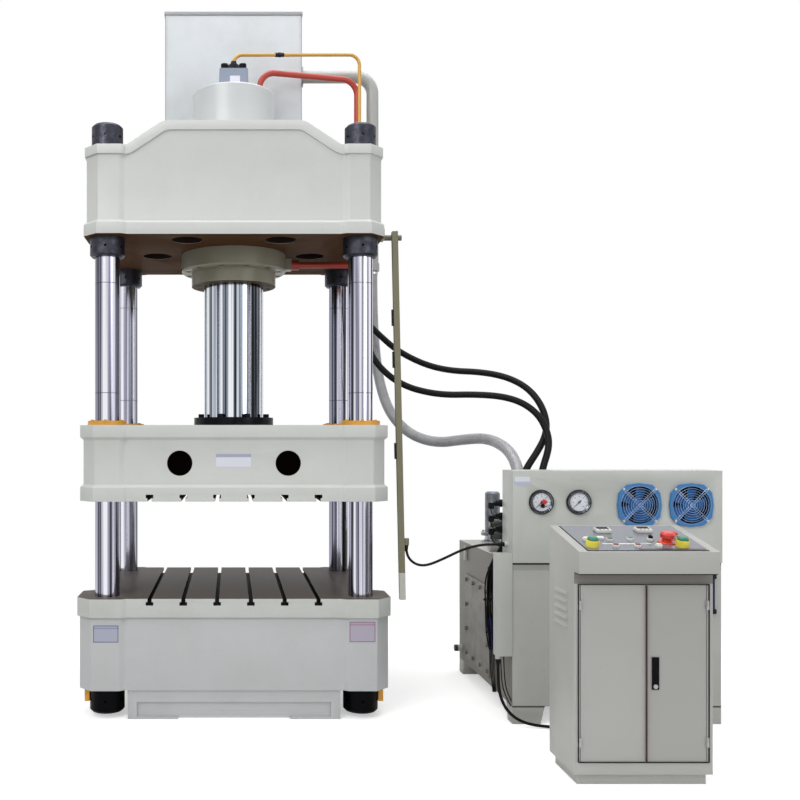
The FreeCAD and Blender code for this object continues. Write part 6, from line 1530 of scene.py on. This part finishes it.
@dataclass
class PowerUnit:
    """Reservoir, panel box with gauges and fans, and the pump gear behind it."""

    edge: float = 3.0
    terminal_edge: float = 2.0
    plates: tuple[Plate, ...] = (
        ("box_plate", (1513.0, 632.0), (80.0, 44.0)),
        ("box_strip_left", (1609.0, 646.0), (44.0, 12.0)),
        ("box_strip_right", (1809.0, 647.0), (66.0, 19.0)))
    box_front: float = -664.0
    reservoir_front: float = -652.0
    gauges: tuple[PressureGauge, ...] = (PressureGauge(1613.0), PressureGauge(1809.0))
    fans: tuple[float, ...] = (2125.0, 2397.0)
    fan_z: float = 505.0
    fan_screw_reach: float = 84.0
    level_x: float = 2515.0
    level_low: float = -54.0
    level_high: float = 130.0
    filter_place: Point = (1645.0, 330.0, 200.0)
    filter_screw_circle: float = 59.0
    lug_size: Point = (14.0, 42.0, 90.0)
    lug_middle: Point = (1458.0, 270.0, 136.0)
    tower_size: Point = (70.0, 96.0, 96.0)
    tower_middle: Point = (1547.0, -400.0, 493.0)
    coil_foot: Pair = (1516.0, -400.0)                  # X and Y where the solenoid coils begin
    coils: tuple[float, ...] = (352.0, 424.0, 496.0)    # their heights
    plug: Point = (1424.0, -402.0, -14.0)               # middle of a plug, its Z from the coil
    plug_size: Point = (30.0, 30.0, 34.0)
    socket: Point = (1452.0, -402.0, -8.0)
    socket_size: Point = (34.0, 16.0, 14.0)
    strand: float = 8.5         # diameter of a wire in the tied harness
    strand_count: int = 9
    tail: float = 6.0           # diameter of a wire that leaves the harness

    def gauge_pieces(self) -> None:
        """Cases, dials, scale marks and the contact knobs of the left gauge."""
        for name, add_part, finish, slot, replaced in (
                ("gauge_cases_turned", PressureGauge.case, GAUGE_RIM, "gauge_metal", ("gauge_cases",)),
                ("gauge_inner_rings", PressureGauge.inner_ring, GAUGE_INNER_RING, "gauge_metal", ()),
                ("gauge_dials", PressureGauge.dial, DIAL_WHITE, "white_plastic", ()),
                ("gauge_figures", PressureGauge.figures, DIAL_BLACK, "needle_black", ())):
            mesh = bmesh.new()
            for gauge in self.gauges:
                add_part(gauge, mesh)
            fasten(name, mesh, finish, slot, *replaced, smooth=name != "gauge_figures")
        dial_faces = [(gauge.matrix(gauge.dial_rise + 0.6).translation, FRONT) for gauge in self.gauges]
        scale = DialMarks()
        for name, marks, length, width in (("gauge_fine_marks", 61, 0.004, 0.0007),
                                           ("gauge_main_marks", 13, 0.007, 0.0014)):
            mount(scale.grow(name, dial_faces, DIAL_BLACK.material(), Marks=marks, Radius=0.042,
                             Length=length, Width=width), "needle_black")
        for name, finish, slot, x, y, radius in (
                ("gauge_red_knob", DIAL_RED, "red_plastic", 9, 2, 13),
                ("gauge_black_knob", DIAL_BLACK, "needle_black", 1, -19, 11)):
            mesh = bmesh.new()
            lathe(mesh, [(0, 0), (radius, 0), (radius, 5), (radius - 1.5, 7), (3, 8), (0, 8)],
                  self.gauges[0].matrix(16.2) @ at(x, y, 0), 28)
            fasten(name, mesh, finish, slot)

    def fan_pieces(self) -> None:
        """Wire guards and the screws that hold the fans."""
        centres = [(millimetres(x, self.box_front - 13.5, self.fan_z), FRONT) for x in self.fans]
        guards = WireGuard().grow("fan_guards_wire", centres, GUARD_WIRE.material(), Rings=8, Pitch=0.0125,
                                  Wire=0.0030, Bulge=0.009, Gap=0.010, Reach=0.112)
        mount(guards, "guard_chrome", "fan_guards")
        corners = [(centre + millimetres(sx * self.fan_screw_reach, 1.5, sz * self.fan_screw_reach), FRONT)
                   for centre, _ in centres for sx, sz in CORNERS]
        mount(SCREWS.grow("fan_screws", corners, BRIGHT_STEEL.material(), Radius=0.005, Height=0.004),
              "guard_chrome")

    def level_gauge(self) -> None:
        """Oil level glass on the front of the reservoir."""
        blocks, glass = bmesh.new(), bmesh.new()
        y = self.reservoir_front - 10
        for z in (self.level_low, self.level_high):
            bar(blocks, (30, 26, 22), aligned(FRONT, millimetres(self.level_x, y, z)), 3)
        lathe(glass, [(0, self.level_low), (9, self.level_low), (9, self.level_high), (0, self.level_high)],
              at(self.level_x, y, 0), 20)
        fasten("level_gauge_blocks", blocks, SWITCH_BLACK, "switch_black")
        fasten("level_gauge_tube", glass, CABLE_BLUE, "switch_black")

    def lug(self) -> None:
        """Lifting lug on the left wall of the reservoir."""
        mesh = bmesh.new()
        bar(mesh, self.lug_size, at(*self.lug_middle), 2.5)
        fasten("reservoir_lug", mesh, UNIT_ENAMEL, "unit_paint")

    def filter_fittings(self) -> None:
        """Zinc foot and clamp ring of the return filter with its screws."""
        x, y, z = self.filter_place
        mesh = bmesh.new()
        lathe(mesh, [(0, 0), (66, 0), (66, 8), (50, 14), (46, 34), (46, 40), (0, 40)], at(x, y, z), 40)
        lathe(mesh, [(46.2, 56), (69, 56), (70, 58), (70, 63), (68, 66), (46.2, 66)], at(x, y, z), 48, True)
        fasten("filter_foot", mesh, BRIGHT_STEEL, "guard_chrome")
        places = around(x, y, z + 66, self.filter_screw_circle, 6)
        mount(SCREWS.grow("filter_screws", places, BRIGHT_STEEL.material(), Radius=0.006, Height=0.007),
              "guard_chrome")

    def valve_tower(self) -> None:
        """Sandwich valves stacked on the manifold's left end, with their coils and plug sockets."""
        block, coils = bmesh.new(), bmesh.new()
        bar(block, self.tower_size, at(*self.tower_middle), 3)
        for z in self.coils:
            lathe(coils, [(0, 0), (19, 0), (21, 2), (21, 44), (16, 48), (16, 66), (7, 68), (7, 78), (0, 78)],
                  aligned(LEFT, millimetres(*self.coil_foot, z)), 24)
            for (x, y, drop), size, chamfer in ((self.plug, self.plug_size, 4),
                                                (self.socket, self.socket_size, 2)):
                bar(coils, size, at(x, y, z + drop), chamfer)
        fasten("valve_tower", block, TOWER_ENAMEL, "valve_paint")
        fasten("solenoid_plugs", coils, SWITCH_BLACK, "switch_black")

    def harness(self) -> None:
        """Wires tied in a bundle down the left wall of the reservoir."""
        middle = ((1486, -440, 505), (1484, -462, 430), (1482, -476, 345), (1470, -464, 262),
                  (1452, -410, 200), (1444, -352, 130), (1438, -336, 45), (1436, -334, -50),
                  (1438, -336, -150), (1442, -338, -230), (1446, -340, -300), (1450, -342, -330))
        spread = (0.3, 0.3, 0.3, 0.4, 0.6, 0.8, 1.1, 1.2, 1.15, 1.0, 0.9, 0.8)
        black, blue = [], []
        for index in range(self.strand_count):
            aside, out = 5.2 * (index - 4), 7 * math.cos(2.4 * index)
            wave = [(x + (aside + 3 * math.sin(1.9 * place + index)) * wide,
                     y + (out + 5 * math.sin(2.3 * place + 2 * index)) * wide, z)
                    for place, ((x, y, z), wide) in enumerate(zip(middle, spread))]
            (blue if index in (2, 4, 5, 7) else black).append(wave)
        tails = [[(1438 + 8 * index, -338, -300), (1436 + 9 * index, -342, -380 - 10 * index),
                  (1440 + 9 * index, -350, -470), (1448 + 5 * index, -358, -562)] for index in range(4)]
        tails += [[(1388 + step, -628, -296), (1390 + step, -630, -400), (1402 + step, -636, -490),
                   (1438 + step, -640, -556)] for step in (22, 38)]
        tails += [[(1424, -402, z - 30), (1418, -420, z - 52), (1440, -450, z - 78), (1476, -470, z - 92)]
                  for z in self.coils]
        for name, paths, thickness, finish in (
                ("harness_black", black + [wave[:9] for wave in blue], self.strand, CABLE_RUBBER),
                ("harness_blue", [wave[8:] for wave in blue], self.strand, CABLE_BLUE),
                ("harness_tails", tails, self.tail, CABLE_RUBBER)):
            wires = nurbs(name, [[millimetres(*place) for place in path] for path in paths], thickness * MM)
            mount(plain_mesh(wires, finish.material()), "cable_rubber")
        ties = bmesh.new()
        for (x, y, z), wide in list(zip(middle, spread))[5:11:2]:
            lathe(ties, [(27, -4), (30, -4), (30, 4), (27, 4)],
                  at(x, y, z) @ Matrix.Diagonal((wide, 0.7, 1.0, 1.0)), 20, True)
        fasten("harness_ties", ties, SWITCH_BLACK, "cable_rubber")

    def build(self) -> None:
        """Dress the power unit."""
        soften("reservoir", self.edge, RESERVOIR_ENAMEL, "unit_paint")
        soften("instrument_box", self.edge, BOX_ENAMEL, "unit_paint")
        soften("terminal_box", self.terminal_edge, UNIT_ENAMEL, "unit_paint")
        for name, middle, size in self.plates:
            blank_plate(name, "instrument_box", middle, size)
        dress(HATCH_ENAMEL, "reservoir_hatch")
        self.gauge_pieces()
        dress(GaugeGlass("float_glass_of_the_gauges", "#ffffff"), "gauge_glasses")
        dress(DIAL_BLACK, "needle_left", "needle_right")
        dress(FAN_ENAMEL, "fan_housings")
        dress(ROTOR_PLASTIC, "fan_rotor_left", "fan_rotor_right")
        self.fan_pieces()
        self.level_gauge()
        self.lug()
        self.filter_fittings()
        self.valve_tower()
        self.harness()
        dress(MOTOR_ENAMEL, "pump_motor")
        dress(IRON, "pump")
        dress(STACK_ENAMEL, "valve_stack")
        dress(FILTER_CAN, "oil_filter")


@dataclass
class Desk:
    """Control desk with its doors, lock and push buttons."""

    edge: float = 1.5
    left: float = 1468.0
    width: float = 600.0
    front: Point = (0.0, -1555.0, 369.0)    # a point on the front edge of the sloping top
    back: Point = (0.0, -1195.0, 448.0)     # a point on its back edge
    margin: Pair = (42.0, 14.0)
    sheet: float = 3.0
    gasket: float = 3.5         # gasket beyond the plate
    buttons: tuple[Pair, ...] = (
        (1649, -1493), (1744, -1493), (1834, -1496), (1552, -1409), (1657, -1412), (1750, -1404),
        (1838, -1407))
    palms: tuple[Pair, ...] = ((1548, -1490), (1938, -1490))
    stop: Pair = (1896, -1438)
    lamp: Pair = (1968, -1352)
    timers: tuple[Pair, ...] = ((1672, -1296), (1858, -1292))
    split: float = 1779.2
    door_left: float = 1487.0
    door_right: float = 2049.0
    door_foot: float = -546.0
    door_top: float = 220.0
    door_y: float = -1498.5
    # Black strip as painted shade under the overhang of the head.
    head_shadow_strip: Point = (1765.0, -1523.0, 273.0)
    head_shadow_strip_size: Point = (590.0, 56.0, 5.0)

    def spot(self, x: float, y: float, rise: float = 0.0) -> Matrix:
        """Frame on the sloping top, with X to the right and Z outwards.

        Args:
            x: Place across the press in millimetres.
            y: Place from front to back in millimetres.
            rise: Height above the top, square to it, in millimetres.

        Returns:
            The frame's matrix.
        """
        run = Vector(self.back) - Vector(self.front)
        normal = Vector((0, -run.z, run.y)).normalized()
        z = self.front[2] + (y - self.front[1]) * run.z / run.y
        return aligned(normal, millimetres(x, y, z) + normal * rise * MM)

    def plate(self) -> None:
        """Instrument plate let into the sloping top, on its gasket."""
        wide = self.width - 2 * self.margin[0]
        deep = (Vector(self.back) - Vector(self.front)).length - 2 * self.margin[1]
        for name, thick, beyond, chamfer, finish, replaced in (
                ("desk_plate", self.sheet, 0.0, 0.6, PANEL_ENAMEL, ("desk_panel",)),
                ("desk_plate_gasket", 1.2, self.gasket, 0.3, CABLE_RUBBER, ())):
            mesh = bmesh.new()
            bar(mesh, (wide + 2 * beyond, deep + 2 * beyond, thick),
                self.spot(self.left + self.width / 2, (self.front[1] + self.back[1]) / 2, thick / 2), chamfer)
            fasten(name, mesh, finish, "panel_paint", *replaced)

    def fittings(self) -> None:
        """Bezels, shrouds, collar, lamp and timers on the plate."""
        for name, places, profile, finish, slot in (
                ("button_bezels", self.buttons,
                 [(11.9, 0.1), (15, 0.1), (15, 8.5), (13.8, 10), (12.6, 10), (11.9, 9.2)],
                 WHITE_CAP, "white_plastic"),
                ("palm_shrouds", self.palms,
                 [(4.7, 0.1), (27, 0.1), (27, 27), (26, 30), (25, 30), (24.2, 28.5), (24.2, 6), (4.7, 6)],
                 YELLOW_SHROUD, "yellow_paint"),
                ("stop_collar", [self.stop],
                 [(4.7, 0.1), (38, 0.1), (38, 3), (36, 4.5), (28, 5), (20, 7), (20, 16), (4.7, 16)],
                 ORANGE_RED, "red_plastic"),
                ("lamp_bezel", [self.lamp], [(12.2, 0.1), (17, 0.1), (17, 6), (15, 8), (12.2, 8)],
                 BRIGHT_STEEL, "gauge_metal"),
                ("lamp_lens", [self.lamp],
                 [(0, 0.2), (12, 0.2), (12, 8), (17, 9), (17, 15), (14.5, 19.5), (8, 21.6), (0, 22)],
                 RED_CAP, "red_plastic")):
            mesh = bmesh.new()
            for x, y in places:
                lathe(mesh, profile, self.spot(x, y, self.sheet), 40, profile[0][0] > 0)
            fasten(name, mesh, finish, slot, "desk_panel")
        cases, windows = bmesh.new(), bmesh.new()
        for x, y in self.timers:
            bar(cases, (70, 48, 16), self.spot(x, y, self.sheet + 8), 3)
            bar(windows, (54, 26, 2), self.spot(x, y + 6, self.sheet + 15.6), 0.5)
            for aside in (-18, 0, 18):
                bar(windows, (8, 5, 2), self.spot(x + aside, y - 16, self.sheet + 15.6), 0.5)
        fasten("timer_cases", cases, WHITE_CAP, "white_plastic", "desk_panel")
        fasten("timer_windows", windows, LOCK_BLACK, "switch_black")

    def strips(self) -> None:
        """Bare label strips beside the buttons."""
        white, maroon = bmesh.new(), bmesh.new()
        for x, y, wide, deep, high in ((1602, -1392, 70, 24, 9), (1700, -1460, 190, 12, 1),
                                       (1790, -1458, 60, 12, 1)):
            bar(white, (wide, deep, high), self.spot(x, y, self.sheet + high / 2), 0.3)
        bar(maroon, (282, 16, 1), self.spot(1876, -1530, self.sheet + 0.5), 0.3)
        fasten("label_strips", white, WHITE_CAP, "white_plastic")
        fasten("maroon_strip", maroon, MAROON_STRIP, "maroon_plastic")

    def seals(self) -> None:
        """Black strips as painted shade in the gaps round the doors and under the head, and a maroon seal between the
        doors.
        """
        middle_x, middle_z = (self.door_left + self.door_right) / 2, (self.door_top + self.door_foot) / 2
        height = self.door_top - self.door_foot
        edges = bmesh.new()
        # Black strips round the doors: painted shade in the gaps.
        for x in (self.door_left - 1.4, self.door_right + 1.4):
            bar(edges, (2.8, 7, height + 5.6), at(x, self.door_y, middle_z), 0.4)
        for z in (self.door_top + 1.6, self.door_foot - 1.6):
            bar(edges, (self.door_right - self.door_left, 7, 2.6), at(middle_x, self.door_y, z), 0.4)
        # Black strip under the head: painted shade.
        bar(edges, self.head_shadow_strip_size, at(*self.head_shadow_strip), 0.6)
        fasten("desk_gap_shade_strips", edges, CABLE_RUBBER, "cable_rubber")
        between = bmesh.new()
        bar(between, (2.3, 29, height - 6), at(self.split, -1493, middle_z), 0.3)
        fasten("desk_door_seal", between, MAROON_STRIP, "maroon_plastic", body="desk_door_right")

    def build(self) -> None:
        """Dress the desk."""
        soften("desk_cabinet", self.edge, DESK_ENAMEL, "desk_paint")
        dress(DOOR_ENAMEL, "desk_door_left", "desk_door_right")
        self.seals()
        self.plate()
        self.fittings()
        self.strips()
        dress(LOCK_BLACK, "door_lock_lever", "mode_selector")
        dress(RED_CAP, "emergency_stop")
        dress(MAROON_CAP, "push_button_maroon_left", "push_button_maroon_right")
        dress(WHITE_CAP, "push_button_white_front", "push_button_white_left")
        dress(DARK_GREEN_CAP, "push_button_dark_green")
        dress(GREEN_CAP, "push_button_green", "palm_button_left", "palm_button_right")


SCREWS = HexScrews()


def main() -> None:
    """Build the studio, the cords and the sub-assemblies in order."""
    logging.basicConfig(level=logging.INFO, format="%(name)s %(message)s")
    Studio().build()
    for cord in CORDS:
        cord.build()
    for part in (PressFrame(), Slide(), TopWorks(), PowerUnit(), Desk()):
        part.build()
        LOG.info("%s built", type(part).__name__)
    with open(SIZE_FILE, "w", encoding="utf-8") as file:
        json.dump({"cad": [list(corner) for corner in CAD_BOX],
                   "visual": [list(corner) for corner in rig.bounds()]}, file)


if __name__ == "__main__":
    main()
